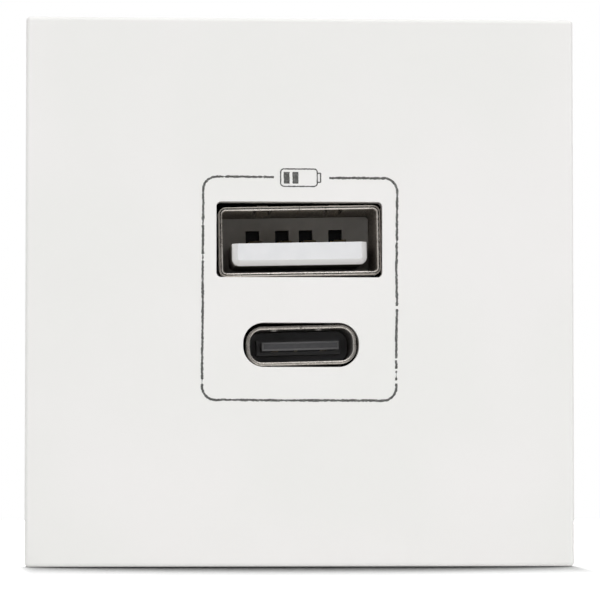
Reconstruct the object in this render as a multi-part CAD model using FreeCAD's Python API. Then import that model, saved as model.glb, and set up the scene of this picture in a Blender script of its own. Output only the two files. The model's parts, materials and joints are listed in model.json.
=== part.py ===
import FreeCAD, Part
import math
import os

Vec = FreeCAD.Vector

# A 45 mm wall module that charges through a USB-A and a USB-C socket.
# Millimetres. +X is right as the user sees the front, +Y goes into the wall, +Z is up.
# The origin is the middle of the seat, the rear rim of the cover that bears on the mounting frame.
# Depths (d) are measured from the front face of the cover, towards the wall.

# How far fused pieces reach into each other, and cutting tools past what they cut
bite = 0.1
past = 1.0
touch = 1e-6

# Cover
module_side = 45.0
cover_depth = 9.5
plate_thickness = 2.0
skirt_wall = 1.6
cover_round = 0.35
boss_radius = 2.3
boss_inset_x = 5.8
boss_inset_z = 4.0
gusset_height = 5.0
gusset_length = 2.2
gusset_thickness = 0.9

# Hooks of the housing in windows of the cover's skirt
hook_width = 6.0
hook_height = 1.2
hook_length = 2.6
hook_catch_depth = 7.6
hook_pitch = 22.0
window_play = 0.25

# Rear housing
housing_play = 0.1
housing_wall = 1.5
housing_corner = 1.5
housing_inner_corner = 0.5
housing_rear_bevel = 0.5
post_radius = 2.6

# Snap tongues, moulded in the top and bottom walls of the housing
snap_width = 6.0
snap_length = 10.0
snap_slot = 0.8
snap_pitch = 22.0
catch_set_back = 3.0
catch_height = 1.0
catch_length = 4.5
catch_lip = 0.4

# Sockets: the mouths lie just behind the front face
mouth_set_back = 0.3
receptacle_height = 10.3
lip_bevel = 0.1
seam_width = 0.06
leg_length = 2.3
leg_play = 0.1
socket_fit = 0.05

# USB-A socket
usb_a_x = -0.10
usb_a_z = 4.27
usb_a_shift = 0.05
usb_a_drop = 0.11
usb_a_roll = 1.1
usb_a_width = 13.3
usb_a_height = 5.72
usb_a_corner = 0.6
usb_a_sheet = 0.3
usb_a_side_gap = 0.07
usb_a_end_gap = 0.02
cutout_a_corner = 0.4
tongue_a_side_room = 0.8
tongue_a_thickness = 1.84
tongue_a_top = -0.1
tongue_a_set_back = 0.5
tongue_a_corner = 0.6
tongue_a_bevel = 0.45
base_a_thickness = 1.4
tongue_root = 0.5
cavity_a_width = 1.15
cavity_a_height = 1.55
groove_a_depth = 0.45
groove_a_margin = 0.6
contact_a_width = 1.0
contact_a_thickness = 0.2
contact_a_inner_pitch = 2.0
contact_a_outer_pitch = 7.0
contact_a_tail_level = 0.35
contact_a_tail_width = 0.5
contact_a_bend = 0.3
# Bends of a contact: share of its run to the base, height over the tongue
contact_a_bends = ((0.05, -0.2), (0.14, -0.02), (0.26, 0.24), (0.42, 0.16), (0.62, -0.06), (0.85, 0.12))
finger_width = 0.9
finger_slot = 0.3
finger_pitch = 5.9
finger_start = 1.2
finger_length = 5.0
finger_hump_top = 0.17
finger_hump_low = 0.03
finger_dip = 0.3
# Bends of a finger: share of its length, share of the outward hump, share of the dip into the mouth
finger_bends = ((0.0, 0.0, 0.0), (0.14, 1.0, 0.0), (0.32, 0.25, 0.0), (0.6, 0.0, 0.65),
                (0.8, 0.0, 1.0), (1.0, 0.0, 0.5))
leg_a_width = 1.1
leg_a_pitch = 3.0
nib_height = 0.5
nib_places = ((-1.0, 0.47), (1.0, -0.87))
nib_stand_out = 0.1

# USB-C socket
usb_c_x = 0.04
usb_c_z = -4.37
usb_c_shift = 0.04
usb_c_drop = 0.03
usb_c_roll = 1.6
usb_c_width = 9.0
usb_c_height = 3.22
usb_c_corner = 1.3
usb_c_sheet = 0.27
usb_c_side_gap = 0.22
usb_c_end_gap = 0.09
cutout_c_corner = 1.7
tongue_c_side_room = 1.05
tongue_c_thickness = 0.7
tongue_c_set_back = 1.6
tongue_c_bevel = 0.14
root_c_step = 0.3
root_c_thickness = 1.3
root_c_length = 1.5
base_c_thickness = 3.9
midplate_thickness = 0.15
midplate_margin = 0.5
midplate_side_margin = 0.25
contact_c_thickness = 0.12
contact_c_width = 0.3
contact_c_wide = 0.55
contact_c_pitch = 2.0
contact_c_inner_shift = 0.3
contact_c_tail_root = 0.3
leg_c_width = 0.9
leg_c_pitch = 5.4
dimple_pitch = 3.66
dimple_shift = -0.35
dimple_radius = 0.3
dimple_height = 0.13
dimple_set_back = 0.9

# Port board, screwed to the bosses of the cover
port_board_play = 1.3
port_board_height = 27.0
port_board_corner = 1.0
board_thickness = 1.2
tail_length = 1.0
hole_play = 0.15
component_air = 0.8
component_gap = 0.6
edge_margin = 1.0
standoff = 0.3

# Screws of both boards
screw_radius = 1.0
screw_head_radius = 1.9
screw_head_height = 1.3
screw_length = 6.0
screw_hole_spare = 1.0
thread_fit = 0.02

# Main board
board_play = 0.7
post_inset = 4.1

# Transformer
core_width = 16.0
core_height = 13.0
core_thickness = 4.8
core_side_leg = 2.0
core_middle_leg = 4.0
core_yoke = 1.8
transformer_height = 9.6
bobbin_wall = 0.7
bobbin_fit = 0.1
winding_margin = 0.45
winding_set_back = 0.1
winding_round = 1.2
rail_length = 14.0
transformer_pin_radius = 0.3
transformer_pin_pitch = 3.4
transformer_pins_per_side = 4
transformer_pin_root = 1.2
transformer_drop = 4.6

# Loose components of the main board
bulk_radius = 4.0
bulk_height = 9.2
bulk_lead_pitch = 3.5
output_radius = 3.15
output_height = 8.2
output_lead_pitch = 2.5
lead_radius = 0.28
lead_root = 0.5
wire_sides = 6
choke_radius = 3.5
choke_height = 8.4
choke_flange = 1.2
choke_waist = 1.6
choke_winding_margin = 0.35
choke_lead_pitch = 4.4
film_width = 11.0
film_depth = 4.5
film_height = 9.0
film_round = 0.5
film_lead_pitch = 7.5
fuse_radius = 2.75
fuse_height = 7.4
fuse_base_height = 1.5
fuse_cap_radius = 2.35
fuse_lead_pitch = 3.8
disc_radius = 3.5
disc_thickness = 2.5
disc_lift = 0.7
disc_lead_pitch = 5.0
barrier_thickness = 0.8
barrier_height = 9.0
barrier_length = 16.0
barrier_tab = 3.0

# Link between the boards
link_pins = 4
link_pitch = 2.54
link_pin_side = 0.64
link_strip_height = 2.5
link_strip_notch = 0.4

# Flat packages, given as body width, height and thickness, with the leads of one side
bridge_size = (4.7, 4.0, 1.3)
bridge_pins_per_side = 2
controller_size = (4.9, 3.9, 1.5)
controller_pins_per_side = 4
rectifier_size = (4.0, 4.6, 1.1)
rectifier_pins_per_side = 2
port_chip_size = (4.0, 4.0, 0.9)
port_chip_pins_per_side = 4
package_bevel = 0.2
package_standoff = 0.05
package_knee = 0.1
package_foot = 0.8
package_lead_thickness = 0.2
package_lead_share = 0.4
controller_shift = -3.6
rectifier_shift = 4.0

# Mains terminals: a screw lifts a cage that presses the wire on a fixed bar
pole_pitch = 7.5
block_side_wall = 1.45
block_lower_wall = 1.5
block_upper_wall = 1.1
block_play = 0.2
block_lip = 0.7
block_stand_out = 0.5
block_bevel = 0.35
cage_width = 5.2
cage_reach = 5.4
cage_side = 0.7
cage_front = 0.9
cage_nut = 1.4
cage_clearance = 0.2
cage_floor_gap = 1.3
cage_bar_gap = 0.2
cage_round = 0.3
wire_gap = 2.6
least_wire = 0.4
bar_thickness = 0.9
bar_width = 3.4
bar_pin_width = 1.2
bar_tip_play = 0.05
bar_foot_gap = 0.6
terminal_screw_radius = 1.5
terminal_running_fit = 0.05
terminal_head_radius = 2.4
terminal_head_height = 1.4
terminal_head_play = 0.1
terminal_head_bevel = 0.2
terminal_slot_width = 0.8
terminal_slot_depth = 0.8
driver_radius = 2.0
wire_entry_radius = 1.4

# Places that follow from the sizes above
housing_side = module_side - 2.0 * (skirt_wall + housing_play)
inner_side = housing_side - 2.0 * housing_wall
inner_half = inner_side / 2.0
port_board_width = inner_side - 2.0 * port_board_play
boss_pitch_x = port_board_width - 2.0 * boss_inset_x
boss_pitch_z = port_board_height - 2.0 * boss_inset_z
plug_a_depth = receptacle_height - base_a_thickness
plug_c_depth = receptacle_height - base_c_thickness
tongue_a_width = usb_a_width - 2.0 * (usb_a_sheet + tongue_a_side_room)
tongue_c_width = usb_c_width - 2.0 * (usb_c_sheet + tongue_c_side_room)
root_c_width = tongue_c_width + 2.0 * root_c_step
post_pitch = inner_side - 2.0 * post_inset
port_front = mouth_set_back + receptacle_height
port_rear = port_front + board_thickness
tallest_component = max(transformer_height, bulk_height, output_height, choke_height,
                        film_height, fuse_height, barrier_height)
main_front = port_rear + tail_length + component_air + tallest_component
main_rear = main_front + board_thickness
main_side = inner_side - 2.0 * board_play
main_half = main_side / 2.0
cage_travel = wire_gap - least_wire
cage_start = main_rear + cage_floor_gap
bar_front = cage_start + cage_front + wire_gap
bar_rear = bar_front + bar_thickness
nut_front = bar_rear + cage_bar_gap
nut_rear = nut_front + cage_nut
head_front = nut_rear + cage_travel + 2.0 * terminal_head_play
head_rear = head_front + terminal_head_height
lip_front = head_rear + terminal_head_play
block_rear = lip_front + block_lip
housing_rear = block_rear - block_stand_out
rear_wall_front = housing_rear - housing_wall
block_half = pole_pitch / 2.0 + cage_width / 2.0 + cage_clearance + block_side_wall
block_low = -inner_half + block_play
pocket_low = block_low + block_lower_wall
cage_low = pocket_low + cage_clearance
cage_high = cage_low + cage_reach
pocket_high = cage_high + cage_clearance
bar_high = pocket_high + cage_clearance + bar_thickness
block_high = bar_high + cage_clearance + block_upper_wall
screw_z = (cage_low + cage_high) / 2.0
wire_depth = bar_front - wire_entry_radius
post_spots = [(side * post_pitch / 2.0, end * post_pitch / 2.0) for side in (-1, 1) for end in (-1, 1)]
main_screw_spots = [(-post_pitch / 2.0, post_pitch / 2.0), (post_pitch / 2.0, -post_pitch / 2.0)]
port_screw_spots = [(-boss_pitch_x / 2.0, boss_pitch_z / 2.0), (boss_pitch_x / 2.0, -boss_pitch_z / 2.0)]
pole_spots = {"live": -pole_pitch / 2.0, "neutral": pole_pitch / 2.0}

# Holes of the boards, collected from the pieces that stand in them
main_holes = []
port_holes = []


def depth(d):
    """Y of a place that lies d behind the front face."""
    return d - cover_depth


def block(x0, x1, d0, d1, z0, z1):
    """Box between two corners."""
    return Part.makeBox(x1 - x0, d1 - d0, z1 - z0, Vec(x0, depth(d0), z0))


def middle_block(width, height, d0, d1, x=0.0, z=0.0):
    """Box of a width and a height about a middle line, between two depths."""
    return block(x - width / 2.0, x + width / 2.0, d0, d1, z - height / 2.0, z + height / 2.0)


def rod(x, z, radius, d0, d1):
    """Round bar that runs from one depth to another."""
    return Part.makeCylinder(radius, d1 - d0, Vec(x, depth(d0), z), Vec(0, 1, 0))


def wire_bar(x, z, radius, d0, d1):
    """Thin straight wire, or its hole, drawn with a few flats because it is small and there are many."""
    points = [Vec(x + radius * math.cos(turn), depth(d0), z + radius * math.sin(turn))
              for turn in (2.0 * math.pi * index / wire_sides for index in range(wire_sides + 1))]
    return Part.Face(Part.makePolygon(points)).extrude(Vec(0, d1 - d0, 0))


def outline(width, height, corner, d, x=0.0, z=0.0):
    """Closed rectangle with round corners, in the plane at depth d."""
    a = width / 2.0 - corner
    b = height / 2.0 - corner
    edges = []
    places = [(a, b, 0.0), (-a, b, 90.0), (-a, -b, 180.0), (a, -b, 270.0)]
    ends = []
    for cx, cz, start in places:
        points = []
        for turn in (0.0, 45.0, 90.0):
            angle = math.radians(start + turn)
            points.append(Vec(x + cx + corner * math.cos(angle), depth(d), z + cz + corner * math.sin(angle)))
        edges.append(Part.Arc(*points).toShape())
        ends.append((points[0], points[2]))
    joined = []
    for index, edge in enumerate(edges):
        joined.append(edge)
        here = ends[index][1]
        there = ends[(index + 1) % 4][0]
        if here.distanceToPoint(there) > 1e-6:
            joined.append(Part.makeLine(here, there))
    return Part.Wire(joined)


def rectangle(width, height, d, x=0.0, z=0.0):
    """Closed rectangle with sharp corners, in the plane at depth d."""
    corners = [(-1.0, -1.0), (1.0, -1.0), (1.0, 1.0), (-1.0, 1.0), (-1.0, -1.0)]
    return Part.makePolygon([Vec(x + a * width / 2.0, depth(d), z + b * height / 2.0) for a, b in corners])


def rounded_bar(width, height, corner, d0, d1, x=0.0, z=0.0):
    """Straight bar of a round-cornered rectangle."""
    return Part.Face(outline(width, height, corner, d0, x, z)).extrude(Vec(0, d1 - d0, 0))


def tapered_bar(first, second):
    """Straight-sided solid between two outlines."""
    return Part.makeLoft([first, second], True, True)


def plate_from(points, thickness, x):
    """Plate cut to an outline of (depth, z) points, from x across its thickness."""
    corners = [Vec(x, depth(d), z) for d, z in points]
    return Part.Face(Part.makePolygon(corners + corners[:1])).extrude(Vec(thickness, 0, 0))


def ribbon(points, thickness, width, x=0.0):
    """Strip of even thickness, bent at each of its (depth, z) points."""
    over, under = [], []
    for index, (d, z) in enumerate(points):
        before = points[max(index - 1, 0)]
        after = points[min(index + 1, len(points) - 1)]
        run, rise = after[0] - before[0], after[1] - before[1]
        size = math.hypot(run, rise)
        side_d, side_z = -rise / size * thickness / 2.0, run / size * thickness / 2.0
        over.append((d + side_d, z + side_z))
        under.append((d - side_d, z - side_z))
    return plate_from(over + under[::-1], width, x - width / 2.0)


def turned(points, x, z, base, way):
    """Solid turned about a line along the depth: points are (radius, height over base)."""
    rim = [Vec(x + radius, depth(base + way * height), z) for radius, height in points]
    face = Part.Face(Part.makePolygon(rim + rim[:1]))
    return solid_of(face.revolve(Vec(x, 0, z), Vec(0, 1, 0), 360))


def solid_of(shape):
    """The shape as a solid whose faces point outwards."""
    solid = shape.Solids[0] if shape.Solids else Part.Solid(shape)
    if solid.Volume < 0:
        solid.reverse()
    return solid


def joined(pieces):
    """One solid out of pieces that touch or overlap."""
    whole = pieces[0]
    if len(pieces) > 1:
        whole = pieces[0].multiFuse(pieces[1:])
    return whole.removeSplitter()


def without(body, tools):
    """The body with the tools cut away."""
    return body.cut(tools).removeSplitter()


def top_and_bottom(shape):
    """The shape and its mirror image below the middle."""
    return [shape, shape.mirror(Vec(0, 0, 0), Vec(0, 0, 1))]


def left_and_right(shape):
    """The shape and its mirror image on the other side of the middle."""
    return [shape, shape.mirror(Vec(0, 0, 0), Vec(1, 0, 0))]


def placed(shape, x, z, roll):
    """A socket's piece, rolled about the socket's own middle and moved to its place."""
    shape = shape.copy()
    shape.rotate(Vec(0, 0, 0), Vec(0, 1, 0), -roll)
    shape.translate(Vec(x, 0, z))
    return shape


def roll_rise(reach, roll):
    """How far a point moves that lies so far from a rolled socket's middle."""
    return reach * math.sin(math.radians(roll))


def save(node, solids):
    """Write one node, as one solid or as a group of separate ones."""
    group = solids if isinstance(solids, list) else [solids]
    single = []
    for shape in group:
        single.extend(shape.Solids)
    if not isinstance(solids, list) and len(single) != 1:
        print("Several solids in", node, len(single))
    for solid in single:
        if not solid.isValid():
            print("Not valid:", node)
    whole = single[0] if len(single) == 1 else Part.makeCompound(single)
    whole.exportStep("parts/" + node + ".step")
    print(node, len(single), round(sum(solid.Volume for solid in single), 2))


def cutout_a(d0, d1):
    """Opening of the cover round the USB-A shell, with room for its roll and shift."""
    rise = roll_rise(usb_a_width / 2.0 - usb_a_corner, usb_a_roll)
    lean = roll_rise(usb_a_height / 2.0 - usb_a_corner, usb_a_roll)
    width = usb_a_width + 2.0 * (usb_a_shift + usb_a_side_gap + lean)
    height = usb_a_height + 2.0 * (usb_a_drop + usb_a_end_gap + rise)
    return rounded_bar(width, height, cutout_a_corner, d0, d1, usb_a_x, usb_a_z)


def cutout_c(d0, d1):
    """Opening of the cover round the USB-C shell: a slot whose ends are nearly round."""
    rise = roll_rise(usb_c_width / 2.0 - usb_c_corner, usb_c_roll)
    width = usb_c_width + 2.0 * (usb_c_shift + usb_c_side_gap)
    height = usb_c_height + 2.0 * (usb_c_drop + usb_c_end_gap + rise)
    return rounded_bar(width, height, min(cutout_c_corner, height / 2.0), d0, d1, usb_c_x, usb_c_z)


def hook_wedge(grow):
    """Wedge of one hook, right side, at mid height. The slope meets the skirt first."""
    out = housing_side / 2.0
    tip = out + hook_height + grow
    front = hook_catch_depth - hook_length - grow
    catch = hook_catch_depth + grow
    root = out - housing_wall / 2.0
    profile = [Vec(root, depth(front), 0), Vec(out, depth(front), 0),
               Vec(tip, depth(catch), 0), Vec(root, depth(catch), 0)]
    width = hook_width + 2.0 * grow
    wedge = Part.Face(Part.makePolygon(profile + profile[:1])).extrude(Vec(0, 0, width))
    wedge.translate(Vec(0, 0, -width / 2.0))
    return wedge


def gusset(x, z, angle):
    """Web that stiffens a boss at its foot, turned about the boss."""
    start = plate_thickness
    profile = [(start - plate_thickness / 2.0, 0.0), (start + gusset_height, 0.0),
               (start + gusset_height, boss_radius),
               (start, boss_radius + gusset_length),
               (start - plate_thickness / 2.0, boss_radius + gusset_length)]
    web = plate_from(profile, gusset_thickness, -gusset_thickness / 2.0)
    web.rotate(Vec(0, 0, 0), Vec(0, 1, 0), angle)
    web.translate(Vec(x, 0, z))
    return web


def front_cover():
    """Square cap: a flat plate with a skirt, two cut-outs, two bosses and four hook windows."""
    body = middle_block(module_side, module_side, 0.0, cover_depth)
    rim = [edge for edge in body.Edges if edge.BoundBox.YMax < depth(cover_depth) - touch
           or edge.BoundBox.YLength > cover_depth / 2.0]
    body = body.makeFillet(min(cover_round, skirt_wall / 2.0), rim)
    hollow_side = module_side - 2.0 * skirt_wall
    hollow = rounded_bar(hollow_side, hollow_side, housing_corner + housing_play,
                         plate_thickness, cover_depth + past)
    body = body.cut(hollow)
    added = []
    for x, z in port_screw_spots:
        added.append(rod(x, z, boss_radius, plate_thickness / 2.0, port_front))
        for angle in (45.0, 135.0, 225.0, 315.0):
            added.append(gusset(x, z, angle))
    body = joined([body] + added)
    cuts = [cutout_a(-past, plate_thickness + past), cutout_c(-past, plate_thickness + past)]
    for x, z in port_screw_spots:
        start = port_rear - screw_length - screw_hole_spare
        cuts.append(rod(x, z, screw_radius + thread_fit, start, port_front + past))
    for end in (-1.0, 1.0):
        window = middle_block(2.0 * (skirt_wall + past), hook_width + 2.0 * window_play,
                              hook_catch_depth - hook_length - window_play,
                              hook_catch_depth + window_play, module_side / 2.0, end * hook_pitch / 2.0)
        cuts.extend(left_and_right(window))
    return without(body, cuts)


def snap_slot_tool(x):
    """U-shaped slot that frees a snap tongue on three sides, top wall."""
    front = cover_depth + catch_set_back - catch_lip - snap_slot
    rear = front + snap_slot + snap_length
    low = inner_half - past
    high = housing_side / 2.0 + past
    wide = snap_width / 2.0 + snap_slot
    slot = block(x - wide, x + wide, front, rear, low, high)
    arm = block(x - snap_width / 2.0, x + snap_width / 2.0, front + snap_slot, rear, low, high)
    return slot.cut(arm)


def snap_catch(x):
    """Nose of a snap tongue: a steep catch face to the front and a long slope to the rear."""
    top = housing_side / 2.0
    root = top - housing_wall / 2.0
    face = cover_depth + catch_set_back
    profile = [(face, root), (face, top + catch_height), (face + catch_lip, top + catch_height),
               (face + catch_length, top), (face + catch_length, root)]
    return plate_from(profile, snap_width, x - snap_width / 2.0)


def rear_housing():
    """Deep tray that closes the module from behind, one moulding with posts, hooks and snap tongues.

    Its rear wall and lower wall are open round the terminal block, for the screwdriver and the wires.
    """
    body = middle_block(housing_side, housing_side, plate_thickness, housing_rear)
    long_edges = [edge for edge in body.Edges if edge.BoundBox.YLength > housing_side / 4.0]
    body = body.makeFillet(housing_corner, long_edges)
    rear_edges = [edge for edge in body.Edges if edge.BoundBox.YMin > depth(housing_rear) - touch]
    body = body.makeChamfer(min(housing_rear_bevel, housing_wall / 2.0), rear_edges)
    body = body.cut(rounded_bar(inner_side, inner_side, housing_inner_corner, plate_thickness - past,
                                rear_wall_front))
    added = []
    for x, z in post_spots:
        added.append(rod(x, z, post_radius, main_rear, rear_wall_front + housing_wall / 2.0))
        side = math.copysign(1.0, x)
        end = math.copysign(1.0, z)
        web_x = sorted((x, side * (inner_half + housing_wall / 2.0)))
        web_z = sorted((z, end * (inner_half + housing_wall / 2.0)))
        half = gusset_thickness / 2.0
        start = main_rear + gusset_length
        added.append(block(web_x[0], web_x[1], start, rear_wall_front + bite, z - half, z + half))
        added.append(block(x - half, x + half, start, rear_wall_front + bite, web_z[0], web_z[1]))
    for end in (-1.0, 1.0):
        hook = hook_wedge(0.0)
        hook.translate(Vec(0, 0, end * hook_pitch / 2.0))
        added.extend(left_and_right(hook))
        added.extend(top_and_bottom(snap_catch(end * snap_pitch / 2.0)))
    body = joined([body] + added)
    cuts = []
    for end in (-1.0, 1.0):
        cuts.extend(top_and_bottom(snap_slot_tool(end * snap_pitch / 2.0)))
    for x, z in main_screw_spots:
        cuts.append(rod(x, z, screw_radius + thread_fit, main_rear - past,
                        main_front + screw_length + screw_hole_spare))
    wide = block_half + block_play
    cuts.append(block(-wide, wide, rear_wall_front - past, housing_rear + past, -inner_half,
                      block_high + block_play))
    cuts.append(block(-wide, wide, main_rear - block_play, housing_rear + past, -housing_side / 2.0 - past,
                      -inner_half + past))
    return without(body, cuts)


def shell_tube(width, height, corner, sheet):
    """Tube of folded sheet with both lips of its mouth bevelled, and a seam along its top."""
    start = mouth_set_back
    full = start + lip_bevel
    inner_width = width - 2.0 * sheet
    inner_height = height - 2.0 * sheet
    inner_corner = corner - sheet
    bevel = 2.0 * lip_bevel
    outside = joined([
        tapered_bar(outline(width - bevel, height - bevel, corner - lip_bevel, start),
                    outline(width, height, corner, full)),
        rounded_bar(width, height, corner, full, port_front)])
    inside = joined([
        tapered_bar(outline(inner_width + bevel, inner_height + bevel, inner_corner + lip_bevel, start),
                    outline(inner_width, inner_height, inner_corner, full)),
        rounded_bar(inner_width, inner_height, inner_corner, full, port_front + past)])
    seam = block(-seam_width / 2.0, seam_width / 2.0, start - past, port_front + past, 0.0, height)
    return without(outside, [inside, seam])


def usb_a_legs(grow):
    """Four legs that carry the USB-A shell in the board: two on each side wall."""
    inner = usb_a_width / 2.0 - usb_a_sheet
    legs = []
    for end in (-1.0, 1.0):
        z = end * leg_a_pitch / 2.0
        legs.extend(left_and_right(block(
            inner - grow, usb_a_width / 2.0 + grow, port_front - bite, port_front + leg_length,
            z - leg_a_width / 2.0 - grow, z + leg_a_width / 2.0 + grow)))
    return legs


def usb_a_finger(x, wall_z, way):
    """Spring finger of the shell: an outward hump at its root, then a dip into the mouth."""
    hump = finger_hump_top if way > 0.0 else finger_hump_low
    points = [(finger_start + share * finger_length, wall_z + way * (out * hump - dip * finger_dip))
              for share, out, dip in finger_bends]
    return ribbon(points, usb_a_sheet, finger_width, x)


def usb_a_shell():
    """Plated sheet shell of the USB-A socket with its springs, legs and strip nibs."""
    tube = shell_tube(usb_a_width, usb_a_height, usb_a_corner, usb_a_sheet)
    wall_z = (usb_a_height - usb_a_sheet) / 2.0
    slots, fingers = [], []
    for side in (-1.0, 1.0):
        for way in (-1.0, 1.0):
            x = side * finger_pitch / 2.0
            slots.append(middle_block(finger_width + 2.0 * finger_slot, usb_a_sheet * 3.0,
                                      finger_start + bite / 2.0, finger_start + finger_length + finger_slot,
                                      x, way * wall_z))
            fingers.append(usb_a_finger(x, way * wall_z, way))
    nibs = []
    inner = usb_a_width / 2.0 - usb_a_sheet
    for side, z in nib_places:
        x0, x1 = sorted((side * (inner + lip_bevel), side * (usb_a_width / 2.0 - lip_bevel)))
        nibs.append(block(x0, x1, mouth_set_back - nib_stand_out, mouth_set_back + bite,
                          z - nib_height / 2.0, z + nib_height / 2.0))
    return joined([without(tube, slots)] + fingers + usb_a_legs(0.0) + nibs)


def contact_a_places():
    """Middles of the four contacts, from left to right."""
    outer = contact_a_outer_pitch / 2.0
    inner = contact_a_inner_pitch / 2.0
    return [-outer, -inner, inner, outer]


def usb_a_insulator():
    """White moulding: a base that fills the shell, and the tongue that carries the contacts."""
    inner_width = usb_a_width - 2.0 * usb_a_sheet - 2.0 * socket_fit
    inner_height = usb_a_height - 2.0 * usb_a_sheet - 2.0 * socket_fit
    base_front = mouth_set_back + plug_a_depth
    base = rounded_bar(inner_width, inner_height, usb_a_corner - usb_a_sheet, base_front, port_front)
    front = mouth_set_back + tongue_a_set_back
    middle_z = tongue_a_top - tongue_a_thickness / 2.0
    tongue = block(-tongue_a_width / 2.0, tongue_a_width / 2.0, front, base_front + tongue_root,
                   tongue_a_top - tongue_a_thickness, tongue_a_top)
    low_edges = [edge for edge in tongue.Edges
                 if edge.BoundBox.YLength > touch and edge.BoundBox.ZMax < middle_z]
    tongue = tongue.makeFillet(min(tongue_a_corner, tongue_a_thickness / 3.0), low_edges)
    front_edges = [edge for edge in tongue.Edges if edge.BoundBox.YMax < depth(front) + touch
                   and edge.BoundBox.ZMin < tongue_a_top - touch]
    tongue = tongue.makeChamfer(min(tongue_a_bevel, tongue_a_thickness / 4.0), front_edges)
    body = joined([base, tongue])
    cuts = []
    for x in contact_a_places():
        cuts.append(block(x - cavity_a_width / 2.0, x + cavity_a_width / 2.0,
                          base_front - tongue_root, port_front + past,
                          tongue_a_top, tongue_a_top + cavity_a_height))
        cuts.append(block(x - cavity_a_width / 2.0, x + cavity_a_width / 2.0,
                          front + groove_a_margin, port_front + past,
                          tongue_a_top - groove_a_depth, tongue_a_top + bite / 2.0))
    return without(body, cuts)


def usb_a_contact(x):
    """Spring contact: it rises over the tongue and runs back through the base and the board."""
    front = mouth_set_back + tongue_a_set_back + groove_a_margin
    back = mouth_set_back + plug_a_depth
    run = back - front
    points = [(front + share * run, tongue_a_top + rise) for share, rise in contact_a_bends]
    level = tongue_a_top + contact_a_tail_level
    points += [(back + contact_a_bend, level), (port_front, level)]
    tail = block(x - contact_a_tail_width / 2.0, x + contact_a_tail_width / 2.0, port_front - bite / 2.0,
                 port_rear + tail_length, level - contact_a_thickness / 2.0,
                 level + contact_a_thickness / 2.0)
    return joined([ribbon(points, contact_a_thickness, contact_a_width, x), tail])


def usb_c_legs(grow):
    """Four legs of the USB-C shell: two on the top wall and two on the bottom wall."""
    outer = usb_c_height / 2.0
    legs = []
    for side in (-1.0, 1.0):
        x = side * leg_c_pitch / 2.0
        legs.extend(top_and_bottom(block(
            x - leg_c_width / 2.0 - grow, x + leg_c_width / 2.0 + grow, port_front - bite,
            port_front + leg_length, outer - usb_c_sheet - grow, outer + grow)))
    return legs


def usb_c_shell():
    """Drawn shell of the USB-C socket, with its seam, two dimples in the roof, and legs."""
    tube = shell_tube(usb_c_width, usb_c_height, usb_c_corner, usb_c_sheet)
    roof = usb_c_height / 2.0 - usb_c_sheet
    dimples = []
    for side in (-1.0, 1.0):
        foot = Vec(dimple_shift + side * dimple_pitch / 2.0, depth(mouth_set_back + dimple_set_back),
                   roof + bite)
        dimples.append(Part.makeCylinder(dimple_radius, dimple_height + bite, foot, Vec(0, 0, -1)))
    return joined([tube] + dimples + usb_c_legs(0.0))


def usb_c_midplate(grow=0.0):
    """Thin steel plate in the middle of the tongue, wider at its root."""
    front = mouth_set_back + tongue_c_set_back + midplate_margin - grow
    half = midplate_thickness / 2.0 + grow
    wide = root_c_width / 2.0 - midplate_margin + grow
    slim = tongue_c_width / 2.0 - midplate_side_margin + grow
    step = mouth_set_back + plug_c_depth - root_c_length
    return joined([block(-slim, slim, front, step + bite, -half, half),
                   block(-wide, wide, step, port_front, -half, half)])


def contact_c_list():
    """The six contacts of the power type as (x, side of the tongue, width)."""
    found = []
    for side in (-1.0, 1.0):
        found.append((-contact_c_pitch, side, contact_c_wide))
        found.append((side * contact_c_inner_shift, side, contact_c_width))
        found.append((contact_c_pitch, side, contact_c_wide))
    return found


def usb_c_contact(x, side, width, grow=0.0):
    """Flat contact sunk flush into one face of the tongue, with its tail through the board."""
    face = side * tongue_c_thickness / 2.0
    under = side * (tongue_c_thickness / 2.0 - contact_c_thickness - grow)
    low, high = sorted((face, under))
    front = mouth_set_back + tongue_c_set_back + midplate_margin - grow
    half = width / 2.0 + grow
    rear = port_front + (past if grow else 0.0)
    strip = block(x - half, x + half, front, rear, low, high)
    if grow:
        return strip
    tail_z = side * (tongue_c_thickness / 2.0 - contact_c_thickness / 2.0)
    tail = block(x - contact_c_width / 2.0, x + contact_c_width / 2.0, port_front - contact_c_tail_root,
                 port_rear + tail_length, tail_z - contact_c_thickness / 2.0,
                 tail_z + contact_c_thickness / 2.0)
    return joined([strip, tail])


def usb_c_insulator():
    """Dark moulding: base, stepped root and the thin tongue, slotted for plate and contacts."""
    inner_width = usb_c_width - 2.0 * usb_c_sheet - 2.0 * socket_fit
    inner_height = usb_c_height - 2.0 * usb_c_sheet - 2.0 * socket_fit
    base_front = mouth_set_back + plug_c_depth
    base = rounded_bar(inner_width, inner_height, usb_c_corner - usb_c_sheet, base_front, port_front)
    root = middle_block(root_c_width, root_c_thickness, base_front - root_c_length, base_front + tongue_root)
    front = mouth_set_back + tongue_c_set_back
    tongue = middle_block(tongue_c_width, tongue_c_thickness, front, base_front + tongue_root)
    tip = [edge for edge in tongue.Edges if edge.BoundBox.YMax < depth(front) + touch]
    tongue = tongue.makeChamfer(min(tongue_c_bevel, tongue_c_thickness / 4.0), tip)
    body = joined([base, root, tongue])
    cuts = [usb_c_midplate(thread_fit)]
    for x, side, width in contact_c_list():
        cuts.append(usb_c_contact(x, side, width, thread_fit))
    return without(body, cuts)


def board_screw(x, z, seat, way):
    """Small self-tapping screw: its head sits on a board at depth seat, its shank goes the other way."""
    profile = [(0.0, screw_head_height), (screw_head_radius, screw_head_height), (screw_head_radius, 0.0),
               (screw_radius, 0.0), (screw_radius, -screw_length), (0.0, -screw_length)]
    return turned(profile, x, z, seat, way)


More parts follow.
